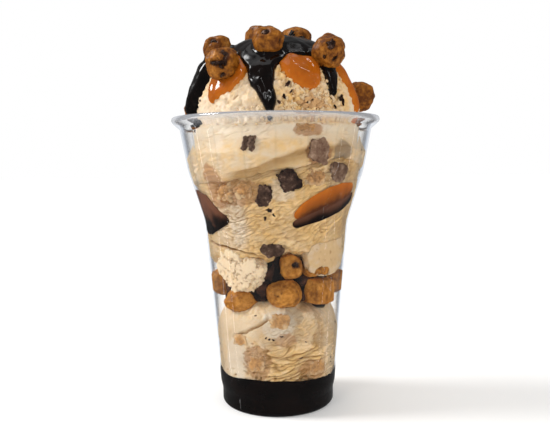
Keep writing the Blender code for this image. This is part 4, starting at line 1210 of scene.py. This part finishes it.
def chocolate_skin():
    skin = skin_nodes("dark_chocolate_chip")
    crumbs = skin.noise(2.6, 3.0, 0.65)
    colour = skin.ramp(crumbs, (0.40, (0.014, 0.006, 0.004)), (0.58, (0.055, 0.026, 0.017)),
                       (0.68, (0.20, 0.12, 0.085)), (0.76, (0.48, 0.36, 0.27)))
    face = skin.ramp(crumbs, (0.35, (0.14, 0.070, 0.042)), (0.52, (0.25, 0.145, 0.09)),
                     (0.68, (0.40, 0.27, 0.18)))
    skin.set(Base_Color=skin.mix(skin.tint("tone"), colour, face), Roughness=0.42, Specular_IOR_Level=0.12)
    skin.bump(skin.noise(1.0, 3.0, 0.7), 0.5, 0.4)
    return skin.owner


def clear_skin():
    """Clear plastic: it refracts for the eye, lets other light straight through and is milky at the rim."""
    skin = skin_nodes("clear_plastic_wall")
    facing = skin.node("LayerWeight", "Facing", Blend=0.35)
    edge = skin.ramp(facing, (0.0, (0.995, 0.995, 0.995)), (0.36, (0.98, 0.98, 0.98)),
                     (0.54, (0.905, 0.912, 0.92)), (1.0, (0.88, 0.888, 0.90)))
    # the plastic is tinted darker along each crease: painted shade marking the crease lines
    colour = skin.mix(skin.tint("crease"), edge, (0.86, 0.865, 0.87))
    skin.set(Base_Color=colour, Roughness=0.03, IOR=1.46, Specular_IOR_Level=0.12, Transmission_Weight=1.0)
    glancing = skin.ramp(facing, (0.50, (0.0, 0.0, 0.0)), (0.66, (1.0, 1.0, 1.0)))
    lens = skin.mix_shader(skin.math('MULTIPLY', glancing, skin.tint("open_wall")), skin.shader.outputs[0],
                           skin.node("BsdfTransparent", Color=(0.86, 0.875, 0.90)))
    clear = skin.mix_shader(skin.eye(), skin.node("BsdfTransparent", Color=(0.96, 0.97, 0.975)), lens)
    whole = skin.mix_shader(skin.math('MULTIPLY', skin.tint("milky"), 0.26), clear,
                            skin.node("BsdfPrincipled", Base_Color=(0.62, 0.63, 0.67), Roughness=0.2))
    skin.tree.links.new(whole, skin.tree.nodes["Material Output"].inputs[0])
    return skin.owner


def floor_skin():
    skin = skin_nodes("white_table")
    skin.set(Base_Color=(0.955, 0.945, 0.93), Roughness=0.8, Specular_IOR_Level=0.05,
             Emission_Color=(1.0, 1.0, 1.0), Emission_Strength=0.07)
    return skin.owner


# studio and camera

CAMERA_PLACE = (0.0, -320.0, 117.0)
CAMERA_LENS = 43.7
CAMERA_PITCH = 5.2         # degrees below level
CAMERA_ROLL = 0.6
CAMERA_PAN = 0.12


def make_camera():
    camera = bpy.data.cameras.new("camera")
    camera.lens = CAMERA_LENS
    camera.sensor_width = 36.0
    camera.clip_start = 0.01
    made = added("camera", camera)
    turn = (Matrix.Rotation(math.radians(CAMERA_PAN), 4, 'Z')
            @ Matrix.Rotation(math.radians(90.0 - CAMERA_PITCH), 4, 'X')
            @ Matrix.Rotation(math.radians(-CAMERA_ROLL), 4, 'Z'))
    made.matrix_world = Matrix.Translation(Vector(CAMERA_PLACE) * MM) @ turn
    bpy.context.scene.camera = made


def lamp(name, place, aim, width, height, power, mirrored=True):
    """A rectangular soft light that is aimed at the axis, at the height given."""
    light = bpy.data.lights.new(name, 'AREA')
    light.shape = 'RECTANGLE'
    light.size = width * MM
    light.size_y = height * MM
    light.energy = power
    made = added(name, light)
    made.visible_glossy = mirrored
    there = Vector(place) * MM
    turn = (Vector((0, 0, aim)) * MM - there).to_track_quat('-Z', 'Y')
    made.matrix_world = Matrix.Translation(there) @ turn.to_matrix().to_4x4()


SKY_LIGHT = 0.62           # the white room's light on the object
GLOSS_LIGHT = 0.14         # and as mirrored in what is glossy


SUN_FROM = (-0.80, 0.02, 0.66)
FLOOR_HALF = 4000          # half the floor's side


def make_studio():
    sky = Nodes(bpy.data.worlds.new("studio"), "Background")
    mirrored = sky.math('MULTIPLY_ADD', sky.node("LightPath", "Is Glossy Ray"), GLOSS_LIGHT - SKY_LIGHT,
                        SKY_LIGHT)
    sky.set(Color=(1.0, 1.0, 1.0), Strength=sky.math('MAXIMUM', sky.eye(), mirrored))
    sky.owner.cycles.sampling_method = 'NONE'
    bpy.context.scene.world = sky.owner
    corners = [(x * FLOOR_HALF, y * FLOOR_HALF, 0) for x, y in ((-1, -1), (1, -1), (1, 1), (-1, 1))]
    floor = put("floor", corners, [(0, 1, 2, 3)], floor_skin())
    floor.visible_glossy = False
    sun = bpy.data.lights.new("key", 'SUN')
    sun.energy = 2.35
    sun.angle = math.radians(22.0)
    added("key", sun).matrix_world = Vector(SUN_FROM).to_track_quat('Z', 'Y').to_matrix().to_4x4()
    lamp("spot_left", (-260, -430, 620), 110, 14, 22, 0.22)
    lamp("streak_left", (-200, -420, 480), 150, 12, 240, 0.10)
    lamp("streak_top", (290, -90, 740), 150, 24, 240, 0.30)
    lamp("softbox_top", (-60, 60, 760), 150, 520, 420, 0.55)
    lamp("fill_right", (420, -420, 260), 60, 400, 400, 0.50, mirrored=False)
    lamp("strip_left", (-590, -60, 170), 110, 10, 900, 0.10)
    lamp("strip_right", (580, -60, 190), 110, 8, 900, 0.07)
    view = bpy.context.scene.view_settings
    view.view_transform = 'Standard'
    view.look = 'None'


cream = ice_cream_skin()
fudge = fudge_skin("hot_fudge_sauce", 0.35)
pressed_fudge = fudge_skin("hot_fudge_at_the_wall", 0.05)
caramel = caramel_skin()
dough = dough_skin()
chocolate = chocolate_skin()
make_camera()
make_studio()
scoops = [make_bottom_scoop(cream), make_middle_scoop(cream), make_top_scoop(cream)]
make_lumps(cream)
make_sauces(fudge, caramel)
make_fudge_spots(fudge)
make_fudge_base(pressed_fudge)
make_pockets(fudge, pressed_fudge, caramel)
make_dough(dough)
make_chunks(chocolate)
make_chips(chocolate)
make_specks(chocolate, dough, cream, scoops)
make_cup(clear_skin())
